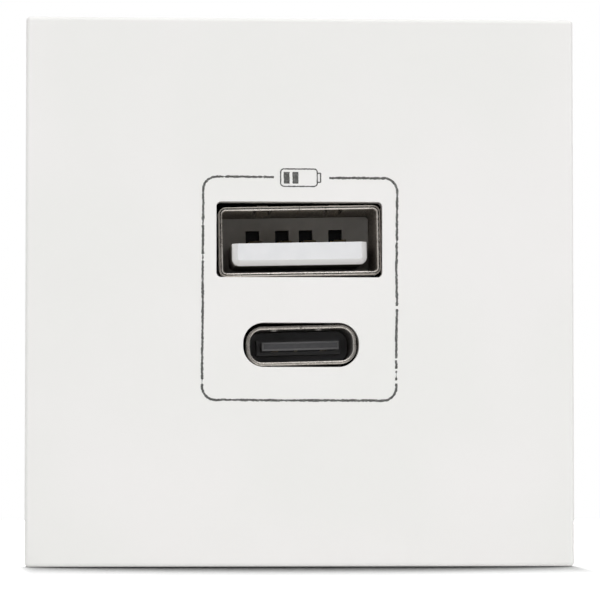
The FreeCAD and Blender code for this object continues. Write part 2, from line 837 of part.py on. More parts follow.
def lead(x, z, start, radius=None):
    """Round wire from a height over the main board down through it. Its hole is noted."""
    radius = radius or lead_radius
    main_holes.append((x, z, radius + hole_play))
    return wire_bar(x, z, radius, main_front - start, main_rear + tail_length)


def can_capacitor(x, z, radius, height, lead_pitch):
    """Round can on two leads."""
    body = rod(x, z, radius, main_front - height, main_front - standoff)
    legs = [lead(x, z + side * lead_pitch / 2.0, standoff + lead_root) for side in (-1.0, 1.0)]
    return joined([body] + legs)


def drum_core(x, z):
    """Ferrite drum of the choke: two flanges and a waist, one turned piece."""
    low = standoff
    profile = [(0.0, low), (choke_radius, low), (choke_radius, low + choke_flange),
               (choke_waist, low + choke_flange), (choke_waist, choke_height - choke_flange),
               (choke_radius, choke_height - choke_flange), (choke_radius, choke_height),
               (0.0, choke_height)]
    body = turned(profile, x, z, main_front, -1.0)
    holes = [wire_bar(x + side * choke_lead_pitch / 2.0, z, lead_radius + thread_fit,
                      main_front - choke_height / 2.0, main_front) for side in (-1.0, 1.0)]
    return without(body, holes)


def choke_winding(x, z):
    """Copper wound on the drum, with its two ends led down through the lower flange."""
    low = standoff + choke_flange + thread_fit
    high = choke_height - choke_flange - thread_fit
    inner = choke_waist + thread_fit
    outer = choke_radius - choke_winding_margin
    profile = [(inner, low), (outer, low), (outer, high), (inner, high)]
    body = turned(profile, x, z, main_front, -1.0)
    ends = [lead(x + side * choke_lead_pitch / 2.0, z, low + lead_root) for side in (-1.0, 1.0)]
    return joined([body] + ends)


def film_capacitor(x0, z1):
    """Box-shaped capacitor in a plastic cup, from its left and upper edges."""
    x = x0 + film_width / 2.0
    z = z1 - film_depth / 2.0
    body = middle_block(film_width, film_depth, main_front - film_height, main_front - standoff, x, z)
    tall = [edge for edge in body.Edges if edge.BoundBox.YLength > film_height / 2.0]
    body = body.makeFillet(min(film_round, film_depth / 4.0), tall)
    legs = [lead(x + side * film_lead_pitch / 2.0, z, standoff + lead_root) for side in (-1.0, 1.0)]
    return joined([body] + legs)


def fuse(x, z):
    """Round subminiature fuse with a stepped cap."""
    profile = [(0.0, standoff), (fuse_radius, standoff), (fuse_radius, fuse_base_height),
               (fuse_cap_radius, fuse_base_height), (fuse_cap_radius, fuse_height), (0.0, fuse_height)]
    body = turned(profile, x, z, main_front, -1.0)
    legs = [lead(x + side * fuse_lead_pitch / 2.0, z, standoff + lead_root) for side in (-1.0, 1.0)]
    return joined([body] + legs)


def disc_capacitor(x, z):
    """Dipped ceramic disc that stands on edge on two leads."""
    centre_height = standoff + disc_lift + disc_radius
    foot = Vec(x, depth(main_front - centre_height), z - disc_thickness / 2.0)
    disc = Part.makeCylinder(disc_radius, disc_thickness, foot, Vec(0, 0, 1))
    legs = [lead(x + side * disc_lead_pitch / 2.0, z, centre_height) for side in (-1.0, 1.0)]
    return joined([disc] + legs)


def flat_package(x, z, size, seat, way, pins_per_side):
    """Moulded flat package with bevelled flanks and feet on its left and right sides."""
    width, height, thickness = size
    low = seat + way * package_standoff
    top = seat + way * thickness
    middle = (low + top) / 2.0
    wide = rectangle(width, height, middle, x, z)
    slim = (width - package_bevel, height - package_bevel)
    body = joined([tapered_bar(wide, rectangle(*slim, top, x, z)),
                   tapered_bar(rectangle(*slim, low, x, z), wide)])
    pitch = height / pins_per_side
    lead_width = pitch * package_lead_share
    thin = package_lead_thickness
    feet = []
    for side in (-1.0, 1.0):
        inner = x + side * (width / 2.0 - 2.0 * bite)
        knee = x + side * (width / 2.0 + package_knee)
        outer = x + side * (width / 2.0 + package_foot)
        profile = [(inner, middle - way * thin / 2.0), (knee, middle - way * thin / 2.0), (knee, seat),
                   (outer, seat), (outer, seat + way * thin), (knee + side * thin, seat + way * thin),
                   (knee + side * thin, middle + way * thin / 2.0), (inner, middle + way * thin / 2.0)]
        for index in range(pins_per_side):
            foot_z = z + (index - (pins_per_side - 1) / 2.0) * pitch
            points = [Vec(px, depth(pd), foot_z - lead_width / 2.0) for px, pd in profile]
            foot = Part.Face(Part.makePolygon(points + points[:1])).extrude(Vec(0, 0, lead_width))
            feet.append(solid_of(foot))
    return joined([body] + feet)


def transformer_frame():
    """Middle of the transformer on the main board: it stands right of the tall capacitors."""
    x = -main_half + edge_margin + 2.0 * bulk_radius + component_gap + core_width / 2.0
    z = main_half - transformer_drop - core_height / 2.0
    return x, z, main_front - transformer_height / 2.0


def core_half(end):
    """One E-shaped ferrite half, above or below the middle of the transformer."""
    x, z, d = transformer_frame()
    d0, d1 = d - core_thickness / 2.0, d + core_thickness / 2.0
    half = core_height / 2.0
    lows = sorted((z + end * (half - core_yoke), z + end * half))
    legs = sorted((z, z + end * (half - core_yoke / 2.0)))
    pieces = [block(x - core_width / 2.0, x + core_width / 2.0, d0, d1, lows[0], lows[1])]
    for centre, width in ((-1.0, core_side_leg), (0.0, core_middle_leg), (1.0, core_side_leg)):
        leg_x = x + centre * (core_width - core_side_leg) / 2.0
        pieces.append(block(leg_x - width / 2.0, leg_x + width / 2.0, d0, d1, legs[0], legs[1]))
    return joined(pieces)


def transformer_pin_spots():
    """Places of the pins, one row under each end of the core."""
    x, z, _ = transformer_frame()
    spots = []
    for end in (-1.0, 1.0):
        row = z + end * (core_height / 2.0 - core_yoke / 2.0)
        for index in range(transformer_pins_per_side):
            spots.append((x + (index - (transformer_pins_per_side - 1) / 2.0) * transformer_pin_pitch, row))
    return spots


def transformer_pins():
    """Pins of the bobbin, moulded into its rails."""
    start = standoff + transformer_pin_root
    return [lead(x, z, start, transformer_pin_radius) for x, z in transformer_pin_spots()]


def transformer_bobbin():
    """Coil former: a square tube round the middle leg, two flanges and two pin rails."""
    x, z, d = transformer_frame()
    window = core_height / 2.0 - core_yoke
    flange_half = core_width / 2.0 - core_side_leg - bobbin_fit
    tall = transformer_height - standoff
    flange_d = main_front - standoff - tall / 2.0
    tube_width = core_middle_leg + 2.0 * (bobbin_fit + bobbin_wall)
    tube_depth = core_thickness + 2.0 * (bobbin_fit + bobbin_wall)
    reach = window - bobbin_fit
    pieces = [block(x - tube_width / 2.0, x + tube_width / 2.0, d - tube_depth / 2.0, d + tube_depth / 2.0,
                    z - reach, z + reach)]
    rail_top = d + core_thickness / 2.0 + bobbin_fit
    for end in (-1.0, 1.0):
        ends = sorted((z + end * (reach - bobbin_wall), z + end * reach))
        pieces.append(block(x - flange_half, x + flange_half, flange_d - tall / 2.0, flange_d + tall / 2.0,
                            ends[0], ends[1]))
        rail = sorted((z + end * (reach - bobbin_wall), z + end * core_height / 2.0))
        pieces.append(block(x - rail_length / 2.0, x + rail_length / 2.0, rail_top, main_front - standoff,
                            rail[0], rail[1]))
    cuts = [block(x - core_middle_leg / 2.0 - bobbin_fit, x + core_middle_leg / 2.0 + bobbin_fit,
                  d - core_thickness / 2.0 - bobbin_fit, d + core_thickness / 2.0 + bobbin_fit,
                  z - core_height, z + core_height)]
    for pin_x, pin_z in transformer_pin_spots():
        cuts.append(wire_bar(pin_x, pin_z, transformer_pin_radius + thread_fit,
                             main_front - standoff - transformer_pin_root - thread_fit, main_front))
    return without(joined(pieces), cuts)


def transformer_winding():
    """Taped coil between the flanges, a rounded ring round the tube."""
    x, z, d = transformer_frame()
    reach = core_height / 2.0 - core_yoke - bobbin_fit - bobbin_wall - thread_fit
    half_width = core_width / 2.0 - core_side_leg - winding_margin
    half_depth = transformer_height / 2.0 - standoff - winding_set_back
    coil = block(x - half_width, x + half_width, d - half_depth, d + half_depth, z - reach, z + reach)
    corners = [edge for edge in coil.Edges if edge.BoundBox.ZLength > reach]
    coil = coil.makeFillet(winding_round, corners)
    tube_width = core_middle_leg / 2.0 + bobbin_fit + bobbin_wall + thread_fit
    tube_depth = core_thickness / 2.0 + bobbin_fit + bobbin_wall + thread_fit
    return without(coil, [block(x - tube_width, x + tube_width, d - tube_depth, d + tube_depth,
                                z - core_height, z + core_height)])


def link_places():
    """Pins of the link between the boards, in a row along the right edge."""
    x = main_half - edge_margin - link_pitch / 2.0
    top = post_pitch / 2.0 - post_radius - component_gap - link_pitch / 2.0
    return [(x, top - index * link_pitch) for index in range(link_pins)]


def link_strip():
    """Plastic strip that holds the link pins on the main board, notched between the pins."""
    spots = link_places()
    x = spots[0][0]
    high = spots[0][1] + link_pitch / 2.0
    low = spots[-1][1] - link_pitch / 2.0
    body = block(x - link_pitch / 2.0, x + link_pitch / 2.0, main_front - link_strip_height, main_front,
                 low, high)
    cuts = []
    for _, z in spots[:-1]:
        edge_z = z - link_pitch / 2.0
        for side in (-1.0, 1.0):
            notch_x = x + side * link_pitch / 2.0
            cuts.append(middle_block(link_strip_notch * 2.0, link_strip_notch, main_front - link_strip_height,
                                     main_front, notch_x, edge_z))
    for _, z in spots:
        side = link_pin_side + 2.0 * thread_fit
        cuts.append(middle_block(side, side, main_front - link_strip_height - past, main_front + past, x, z))
    return without(body, cuts)


def link_pin(x, z):
    """Square pin from behind the main board to the front of the port board."""
    radius = link_pin_side + hole_play
    main_holes.append((x, z, radius))
    port_holes.append((x, z, radius))
    return middle_block(link_pin_side, link_pin_side, port_front - tail_length,
                        main_rear + tail_length, x, z)


def output_row():
    """Height of the row of output capacitors, under the transformer and the link."""
    _, middle_z, _ = transformer_frame()
    over = min(link_places()[-1][1] - link_pitch / 2.0, middle_z - core_height / 2.0)
    return over - component_gap - output_radius


def barrier(grow=0.0):
    """Insulating wall between the mains side and the output side, with two tabs in the board."""
    z1 = output_row() - output_radius - component_gap
    x1 = main_half - edge_margin
    x0 = x1 - barrier_length
    tabs = [middle_block(barrier_tab + 2.0 * grow, barrier_thickness + 2.0 * grow,
                         main_front - bite, main_rear + bite, x0 + share * barrier_length,
                         z1 - barrier_thickness / 2.0) for share in (0.25, 0.75)]
    if grow:
        return tabs
    wall = block(x0, x1, main_front - barrier_height, main_front, z1 - barrier_thickness, z1)
    return joined([wall] + tabs)


def clamp_cage(x):
    """Steel cage: a square tube open above and below, its rear wall threaded for the screw."""
    half = cage_width / 2.0
    body = block(x - half, x + half, cage_start, nut_rear, cage_low, cage_high)
    corners = [edge for edge in body.Edges if edge.BoundBox.ZLength > cage_reach / 2.0]
    body = body.makeFillet(min(cage_round, cage_side / 2.0), corners)
    inner = half - cage_side
    return without(body, [block(x - inner, x + inner, cage_start + cage_front, nut_front, cage_low - past,
                                cage_high + past),
                          rod(x, screw_z, terminal_screw_radius + terminal_running_fit, nut_front - past,
                              nut_rear + past)])


def contact_bar(x, grow=0.0):
    """Copper bar through the cage, bent down into a pin that is soldered in the main board."""
    half = bar_width / 2.0
    leg_low = bar_high - bar_thickness
    low = pocket_low + bar_tip_play
    bar = block(x - half, x + half, bar_front, bar_rear, low, bar_high)
    foot = main_rear + bar_foot_gap
    leg = block(x - half, x + half, foot, bar_rear, leg_low, bar_high)
    pin = block(x - bar_pin_width / 2.0 - grow, x + bar_pin_width / 2.0 + grow, main_front - tail_length,
                foot + bite, leg_low - grow, bar_high + grow)
    if grow:
        return pin
    return joined([bar, leg, pin])


def terminal_screw(x):
    """Slotted clamping screw: it turns between the lip of the block and the bar."""
    head = rod(x, screw_z, terminal_head_radius, head_front, head_rear)
    crown = [edge for edge in head.Edges if edge.BoundBox.YMin > depth(head_rear) - touch]
    head = head.makeChamfer(min(terminal_head_bevel, terminal_head_height / 3.0), crown)
    shank = rod(x, screw_z, terminal_screw_radius, bar_rear + terminal_running_fit, head_front + bite)
    slot = middle_block(terminal_head_radius * 3.0, terminal_slot_width, head_rear - terminal_slot_depth,
                        head_rear + past, x, screw_z)
    return without(joined([head, shank]), [slot])


def terminal_block():
    """Two-pole moulding round the cages: pockets open to the board, screw wells open to the rear."""
    body = block(-block_half, block_half, main_rear, block_rear, block_low, block_high)
    rear_edges = [edge for edge in body.Edges if edge.BoundBox.YMin > depth(block_rear) - touch]
    body = body.makeChamfer(min(block_bevel, block_lip / 2.0), rear_edges)
    cuts = []
    for x in pole_spots.values():
        wide = cage_width / 2.0 + cage_clearance
        cuts.append(block(x - wide, x + wide, main_rear - past, head_front - terminal_head_play,
                          pocket_low, pocket_high))
        slim = bar_width / 2.0 + cage_clearance
        cuts.append(block(x - slim, x + slim, main_rear - past, bar_rear + cage_clearance,
                          pocket_high - bite, bar_high + cage_clearance))
        cuts.append(rod(x, screw_z, terminal_head_radius + terminal_head_play,
                        head_front - terminal_head_play - bite, lip_front))
        cuts.append(rod(x, screw_z, driver_radius, lip_front - bite, block_rear + past))
        cuts.append(Part.makeCylinder(wire_entry_radius, block_lower_wall + 2.0 * past,
                                      Vec(x, depth(wire_depth), block_low - past), Vec(0, 0, 1)))
    return without(body, cuts)


def main_board():
    """Board that carries the supply, held on the posts of the housing."""
    corner = housing_inner_corner + board_play
    body = rounded_bar(main_side, main_side, corner, main_front, main_rear)
    cuts = [wire_bar(x, z, radius, main_front - past, main_rear + past) for x, z, radius in main_holes]
    for x, z in main_screw_spots:
        cuts.append(rod(x, z, screw_radius + hole_play, main_front - past, main_rear + past))
    cuts.extend(barrier(hole_play))
    for x in pole_spots.values():
        cuts.append(contact_bar(x, hole_play))
    return without(body, cuts)


def port_board():
    """Board that carries both sockets, screwed to the bosses of the cover."""
    body = rounded_bar(port_board_width, port_board_height, port_board_corner, port_front, port_rear)
    cuts = [wire_bar(x, z, radius, port_front - past, port_rear + past) for x, z, radius in port_holes]
    for x, z in port_screw_spots:
        cuts.append(rod(x, z, screw_radius + hole_play, port_front - past, port_rear + past))
    for leg in usb_a_legs(leg_play):
        cuts.append(placed(leg, usb_a_x + usb_a_shift, usb_a_z - usb_a_drop, usb_a_roll))
    for leg in usb_c_legs(leg_play):
        cuts.append(placed(leg, usb_c_x + usb_c_shift, usb_c_z - usb_c_drop, usb_c_roll))
    for x in contact_a_places():
        hole = wire_bar(x, tongue_a_top + contact_a_tail_level, contact_a_width / 2.0, port_front - past,
                        port_rear + past)
        cuts.append(placed(hole, usb_a_x + usb_a_shift, usb_a_z - usb_a_drop, usb_a_roll))
    for x, side, _ in contact_c_list():
        level = side * (tongue_c_thickness - contact_c_thickness) / 2.0
        hole = middle_block(contact_c_width + hole_play, contact_c_thickness + hole_play, port_front - past,
                            port_rear + past, x, level)
        cuts.append(placed(hole, usb_c_x + usb_c_shift, usb_c_z - usb_c_drop, usb_c_roll))
    return without(body, cuts)


def save_socket_a():
    """The USB-A socket: shell, moulding and four contacts."""
    place = (usb_a_x + usb_a_shift, usb_a_z - usb_a_drop, usb_a_roll)
    save("usb_a_shell", placed(usb_a_shell(), *place))
    save("usb_a_insulator", placed(usb_a_insulator(), *place))
    for number, x in enumerate(contact_a_places(), 1):
        save("usb_a_contact_%d" % number, placed(usb_a_contact(x), *place))


def save_socket_c():
    """The USB-C socket: shell, moulding, middle plate and six contacts."""
    place = (usb_c_x + usb_c_shift, usb_c_z - usb_c_drop, usb_c_roll)
    save("usb_c_shell", placed(usb_c_shell(), *place))
    save("usb_c_insulator", placed(usb_c_insulator(), *place))
    save("usb_c_midplate", placed(usb_c_midplate(), *place))
    for number, (x, side, width) in enumerate(contact_c_list(), 1):
        save("usb_c_contact_%d" % number, placed(usb_c_contact(x, side, width), *place))


def save_supply():
    """The components of the main board, laid out in columns from the left edge."""
    left = -main_half + edge_margin
    column_x = left + bulk_radius
    first_z = post_pitch / 2.0 - screw_head_radius - component_gap - bulk_radius
    second_z = first_z - 2.0 * bulk_radius - component_gap
    save("bulk_capacitor_1", can_capacitor(column_x, first_z, bulk_radius, bulk_height, bulk_lead_pitch))
    save("bulk_capacitor_2", can_capacitor(column_x, second_z, bulk_radius, bulk_height, bulk_lead_pitch))
    choke_x = left + choke_radius
    choke_z = second_z - bulk_radius - component_gap - choke_radius
    save("choke_core", drum_core(choke_x, choke_z))
    save("choke_winding", choke_winding(choke_x, choke_z))
    film_left = post_radius + component_gap - post_pitch / 2.0 - (film_width - film_lead_pitch) / 2.0
    save("film_capacitor", film_capacitor(film_left, choke_z - choke_radius - component_gap))
    middle_x, middle_z, _ = transformer_frame()
    save("transformer_core_1", core_half(-1.0))
    save("transformer_core_2", core_half(1.0))
    save("transformer_bobbin", transformer_bobbin())
    save("transformer_winding", transformer_winding())
    save("transformer_pins", transformer_pins())
    under = middle_z - core_height / 2.0 - component_gap
    save("fuse", fuse(left + 2.0 * bulk_radius + component_gap + fuse_radius, under - fuse_radius))
    over = middle_z + core_height / 2.0 + component_gap
    save("disc_capacitor", disc_capacitor(middle_x, over + disc_thickness / 2.0))
    for number, (x, z) in enumerate(link_places(), 1):
        save("link_pin_%d" % number, link_pin(x, z))
    save("link_strip", link_strip())
    output_x = main_half - edge_margin - output_radius
    for number in (1, 2):
        save("output_capacitor_%d" % number,
             can_capacitor(output_x, output_row(), output_radius, output_height, output_lead_pitch))
        output_x -= 2.0 * output_radius + component_gap
    save("insulating_barrier", barrier())
    save("controller_chip", flat_package(middle_x + controller_shift, middle_z, controller_size,
                                         main_rear, 1.0, controller_pins_per_side))
    save("output_rectifier", flat_package(middle_x + rectifier_shift, middle_z, rectifier_size,
                                          main_rear, 1.0, rectifier_pins_per_side))
    save("bridge_rectifier", flat_package(middle_x + bridge_size[0] / 2.0, under - bridge_size[1],
                                          bridge_size, main_rear, 1.0, bridge_pins_per_side))
    save("port_chip", flat_package(-port_board_width / 4.0 - port_chip_size[0] / 2.0, usb_c_z,
                                   port_chip_size, port_rear, 1.0, port_chip_pins_per_side))


def save_terminals():
    """Block, screws, cages and bars of both poles."""
    save("terminal_block", terminal_block())
    for pole, x in pole_spots.items():
        save("terminal_screw_" + pole, terminal_screw(x))
        save("clamp_cage_" + pole, clamp_cage(x))
        save("contact_bar_" + pole, contact_bar(x))


def main():
    os.makedirs("parts", exist_ok=True)
    save("front_cover", front_cover())
    save("rear_housing", rear_housing())
    save_socket_a()
    save_socket_c()
    save_supply()
    save_terminals()
    save("main_board", main_board())
    save("port_board", port_board())
    save("port_board_screws", [board_screw(x, z, port_rear, 1.0) for x, z in port_screw_spots])
    save("main_board_screws", [board_screw(x, z, main_front, -1.0) for x, z in main_screw_spots])
    print("overall depth", round(block_rear, 3), "terminal travel", round(cage_travel, 3))
    print("wire entry y", round(depth(wire_depth), 3), "z", round(block_low, 3))
    print("screw z", round(screw_z, 3), "head y", round(depth(head_rear), 3))


main()
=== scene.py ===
# %% [markdown]
# # A USB wall socket in its finishes
#
# The object is a square charger insert of 45 mm: a white plate with a USB-A and a USB-C socket, a printed
# frame and a battery sign, and behind it a housing with snap tongues and two screw terminals. Its solids
# come from the frame that is loaded here. This script gives them their surfaces, cuts the threads of two
# screws, prints the ink, and sets the floor, the lamps and the camera. All lengths are metres, +X right,
# +Y into the wall, +Z up.

# %% Load the frame
import json
import math

import bmesh
import bpy
import numpy as np
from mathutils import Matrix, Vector


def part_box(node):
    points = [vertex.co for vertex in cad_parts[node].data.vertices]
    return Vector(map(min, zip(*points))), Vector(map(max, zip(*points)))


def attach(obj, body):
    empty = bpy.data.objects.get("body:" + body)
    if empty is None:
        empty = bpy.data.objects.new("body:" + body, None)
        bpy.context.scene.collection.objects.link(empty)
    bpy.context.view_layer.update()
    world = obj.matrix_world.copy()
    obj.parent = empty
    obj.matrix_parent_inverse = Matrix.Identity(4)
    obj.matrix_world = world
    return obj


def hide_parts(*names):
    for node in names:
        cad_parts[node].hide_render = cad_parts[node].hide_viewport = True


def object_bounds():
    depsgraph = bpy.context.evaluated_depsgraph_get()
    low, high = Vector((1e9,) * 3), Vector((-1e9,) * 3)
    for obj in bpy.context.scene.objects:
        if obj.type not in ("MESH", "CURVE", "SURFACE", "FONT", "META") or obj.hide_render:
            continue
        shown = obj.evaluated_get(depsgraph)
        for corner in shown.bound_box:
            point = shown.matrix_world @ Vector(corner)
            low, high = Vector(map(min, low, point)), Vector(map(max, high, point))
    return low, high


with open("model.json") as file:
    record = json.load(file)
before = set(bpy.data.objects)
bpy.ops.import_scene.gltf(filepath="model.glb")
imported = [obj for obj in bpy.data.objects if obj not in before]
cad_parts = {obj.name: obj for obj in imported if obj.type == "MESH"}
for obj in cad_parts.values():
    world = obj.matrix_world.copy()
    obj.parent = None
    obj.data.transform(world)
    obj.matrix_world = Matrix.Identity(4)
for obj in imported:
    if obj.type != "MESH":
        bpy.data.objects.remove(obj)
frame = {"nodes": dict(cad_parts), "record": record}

cad_box = [list(corner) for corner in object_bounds()]
print("solids reach from", [round(v, 4) for v in cad_box[0]], "to", [round(v, 4) for v in cad_box[1]])

# %% [markdown]
# A few measures are used everywhere. They are read from the solids, so that the ink, the lamps and the
# camera follow the plate: its front face, its half side and the level of its foot. Patterns on a single
# piece are placed from the middle of that piece.

# %% Measures of the plate and its sockets
mm = 0.001
front_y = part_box("front_cover")[0][1]
half_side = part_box("front_cover")[1][0]
floor_z = cad_box[0][2]
print("front face at", round(front_y / mm, 2), "mm, half side", round(half_side / mm, 2), "mm")


def middle_of(node):
    """Middle of a node's box at rest."""
    low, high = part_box(node)
    return [(a + b) / 2.0 for a, b in zip(low, high)]


for node in ("usb_a_shell", "usb_c_shell"):
    print(node, "has its middle at", [round(v / mm, 2) for v in middle_of(node)], "mm")

# %% [markdown]
# ## Shader maths
#
# A shader is a graph of nodes, and a pattern such as "dark where the metal is sheared" is arithmetic on
# sockets. Writing that arithmetic node by node hides the idea. So one small class wraps an output socket
# and turns +, -, * and / into Math nodes.

# %% A socket that can be reckoned with
class Sock:
    """One output socket. Arithmetic on it adds Math nodes to the same material."""

    def __init__(self, paint, link):
        self.paint = paint
        self.link = link

    def math(self, operation, *values):
        """The result of one Math node on this socket and the given values."""
        sockets = dict(enumerate((self,) + values))
        return self.paint.add("ShaderNodeMath", {"operation": operation}, sockets)

    def __add__(self, other):
        return self.math("ADD", other)

    def __sub__(self, other):
        return self.math("SUBTRACT", other)

    def __mul__(self, other):
        return self.math("MULTIPLY", other)

    def __truediv__(self, other):
        return self.math("DIVIDE", other)

    def __rsub__(self, other):
        return self.math("MULTIPLY", -1.0).math("ADD", other)

    __radd__ = __add__
    __rmul__ = __mul__

    def between(self, low, high):
        """0 at low, 1 at high, and a smooth step from one to the other."""
        settings = {"interpolation_type": "SMOOTHSTEP"}
        return self.paint.add("ShaderNodeMapRange", settings, {0: self, 1: low, 2: high})

    def about(self, middle, swing):
        """A pattern from 0 to 1 turned into values that swing about a middle one."""
        return self * swing + (middle - swing / 2.0)


print("a socket can", [name for name in vars(Sock) if not name.startswith("_")])

# %% [markdown]
# Colours are written as display levels from 0 to 255, because that is how a colour is read off a product
# shot. A shader reckons in linear light, so two small functions turn one into the other.

# %% Colours
def shade(level):
    """Linear value of a display level from 0 to 255."""
    share = level / 255.0
    return share / 12.92 if share <= 0.04045 else ((share + 0.055) / 1.055) ** 2.4


def tint(red, green, blue):
    """Linear colour of three display levels from 0 to 255."""
    return shade(red), shade(green), shade(blue)


print("display level 235 is", round(shade(235), 3), "of white")

# %% [markdown]
# A second class owns one material. Its add method puts in a node of any kind: settings first, because they
# decide which sockets the node has, then the values and links. The other methods are the few patterns that
# this object needs. They read Object coordinates, which stay with a piece wherever its body goes.

# %% A material and its nodes
class Paint:
    """One material: a Principled shader whose sockets are set to numbers or to patterns."""

    def __init__(self, name, **fixed):
        self.material = bpy.data.materials.new(name)
        self.material.use_nodes = True
        self.tree = self.material.node_tree
        self.tree.nodes.clear()
        self.shader = self.tree.nodes.new("ShaderNodeBsdfPrincipled")
        output = self.tree.nodes.new("ShaderNodeOutputMaterial")
        self.tree.links.new(self.shader.outputs[0], output.inputs[0])
        self.place = self.add("ShaderNodeTexCoord", {}, {}, "Object")
        self.set(**fixed)

    def plug(self, socket, value):
        """Link a Sock to an input socket, or set the input to a plain value."""
        if isinstance(value, Sock):
            self.tree.links.new(value.link, socket)
        elif isinstance(value, tuple) and len(value) == 3 and socket.type == "RGBA":
            socket.default_value = (*value, 1.0)
        else:
            socket.default_value = value

    def add(self, kind, settings, sockets, output=0):
        """Add one node: its settings first, then the values or links of its sockets."""
        node = self.tree.nodes.new(kind)
        for name, value in settings.items():
            setattr(node, name, value)
        for name, value in sockets.items():
            self.plug(node.inputs[name], value)
        return Sock(self, node.outputs[output])

    def set(self, **values):
        """Set sockets of the shader. Base_Color stands for Base Color."""
        for name, value in values.items():
            self.plug(self.shader.inputs[name.replace("_", " ")], value)

    def stretched(self, x, y, z):
        """Object coordinates in millimetres, multiplied along each axis."""
        scale = (x / mm, y / mm, z / mm)
        return self.add("ShaderNodeMapping", {}, {"Vector": self.place, "Scale": scale})

    def noise(self, size_mm, detail=2.0, along=(1.0, 1.0, 1.0), roughness=0.5):
        """Cloudy noise from 0 to 1 whose patches are about size_mm wide."""
        sockets = {"Vector": self.stretched(*along), "Scale": 1.0 / size_mm, "Detail": detail,
                   "Roughness": roughness}
        return self.add("ShaderNodeTexNoise", {}, sockets)

    def blocks(self, step_mm, size_mm):
        """Noise in patches of about size_mm whose outlines run in square steps of step_mm."""
        snapped = self.add("ShaderNodeVectorMath", {"operation": "SNAP"},
                           {0: self.stretched(1.0, 0.0, 1.0), 1: (step_mm, step_mm, step_mm)})
        sockets = {"Vector": snapped, "Scale": 1.0 / size_mm, "Detail": 0.0}
        return self.add("ShaderNodeTexNoise", {}, sockets)

    def axis(self, letter):
        """One object coordinate, in millimetres."""
        return self.add("ShaderNodeSeparateXYZ", {}, {0: self.place}, letter) * (1.0 / mm)

    def facing(self, letter):
        """One part of the surface's own direction, from -1 to 1."""
        normal = self.add("ShaderNodeTexCoord", {}, {}, "Normal")
        return self.add("ShaderNodeSeparateXYZ", {}, {0: normal}, letter)

    def mix(self, first, second, share):
        """Colour that goes from first to second as share goes from 0 to 1."""
        return self.add("ShaderNodeMix", {"data_type": "RGBA"}, {0: share, 6: first, 7: second}, 2)

    def mottle(self, dark, light, share):
        """Colour between two colours that are given as display levels."""
        return self.mix(tint(*dark), tint(*light), share)

    def bump(self, height, depth_mm):
        """Relief whose full height is depth_mm, on the shader's Normal."""
        sockets = {"Height": height, "Distance": depth_mm * mm, "Strength": 1.0}
        self.set(Normal=self.add("ShaderNodeBump", {}, sockets))


trial = Paint("trial")
trial.set(Roughness=1.0 - trial.axis("Z") * 0.5)
print("a material whose roughness falls with the height takes", len(trial.tree.nodes), "nodes")
bpy.data.materials.remove(trial.material)

# %% [markdown]
# ## Finishes
#
# The plate is moulded in white plastic. Its mould was spark-eroded very finely, which leaves a grain of
# about a tenth of a millimetre: too fine to see, but it turns gloss into satin. The hue drifts a little
# over the plate, as it does on any large flat moulding. The housing has a coarser grain, because nobody
# sees it once it is fitted.

# %% White plastics
finishes = {}
drift_patch = 14.0


def moulded_white(name, level, roughness, grain_mm, grain_depth_mm):
    """Satin white plastic: an even fine grain, and a slow drift between two shades that are both warm."""
    paint = Paint(name, Specular_IOR_Level=0.4)
    drift = paint.noise(drift_patch, detail=1.0).between(0.35, 0.65)
    low = (level - 1.5, level - 2.0, level - 4.5)
    high = (level + 1.0, level - 0.5, level - 2.0)
    paint.set(Base_Color=paint.mottle(low, high, drift))
    grain = paint.noise(grain_mm, detail=3.0)
    paint.set(Roughness=grain.about(roughness, 0.12))
    paint.bump(grain, grain_depth_mm)
    return paint.material


finishes["cover_plastic"] = moulded_white("cover_satin_white", 237, 0.46, 0.09, 0.0012)
finishes["housing_plastic"] = moulded_white("housing_matt_white", 228, 0.58, 0.16, 0.005)
print("white plastics:", [material.name for material in finishes.values()])

# %% [markdown]
# The tongue and the base of the USB-A socket are one white moulding. Its bevels that look to the side or
# down are painted paler, a painted highlight, while its underside and the back of the socket are painted
# darker as shade. Painting the shade by hand would suit one view only, so it follows the depth behind the
# plate and the direction that a face looks in.

# %% White insulator
# Depths behind the plate's front, in millimetres: between the first two the painted shade of the socket's
# depth sets in. Behind the face of the base lie only the contact slots, painted darker still as shade.
shade_from = 1.5
shade_full = 6.0
base_a_depth = 9.2
slot_shade = (0.1, 0.6)
# How far a face looks to the side rather than up, where the painted highlight sets in, and how far it looks
# down, where the painted shade sets in.
highlight_facing = (0.3, 0.6)
under_facing = (0.8, 0.95)


def insulator_plastic():
    """White tongue and base of the USB-A socket: painted highlight on its bevels, painted shade below and
    deep inside.
    """
    paint = Paint("insulator_white", Specular_IOR_Level=0.35)
    cloud = paint.noise(1.2, detail=3.0)
    depth = paint.axis("Y") - front_y / mm
    # Bevels that look to the side or down are painted paler: a painted highlight.
    painted_bevel_highlight = (paint.facing("X").math("ABSOLUTE") - paint.facing("Z")).between(*highlight_facing)
    under = (paint.facing("Z") * -1.0).between(*under_facing)
    slots = depth.between(base_a_depth + slot_shade[0], base_a_depth + slot_shade[1])
    white_with_highlight = paint.mix(paint.mottle((222, 223, 225), (232, 232, 233), cloud), tint(246, 246, 246), painted_bevel_highlight)
    # The depth of the socket, the underside and the contact slots are painted darker: painted shade.
    painted_depth_shade = paint.mottle((160, 158, 155), (186, 184, 181), cloud)
    painted_underside_shade = paint.mottle((96, 93, 90), (128, 125, 121), cloud)
    colour = paint.mix(paint.mix(white_with_highlight, painted_depth_shade, depth.between(shade_from, shade_full)), painted_underside_shade, under)
    paint.set(Base_Color=paint.mix(colour, tint(82, 80, 78), slots))
    paint.set(Roughness=cloud.about(0.495, 0.15))
    paint.bump(paint.noise(0.12, detail=2.0), 0.002)
    return paint.material


finishes["white_insulator"] = insulator_plastic()
print("the base of the USB-A socket lies", base_a_depth, "mm deep")
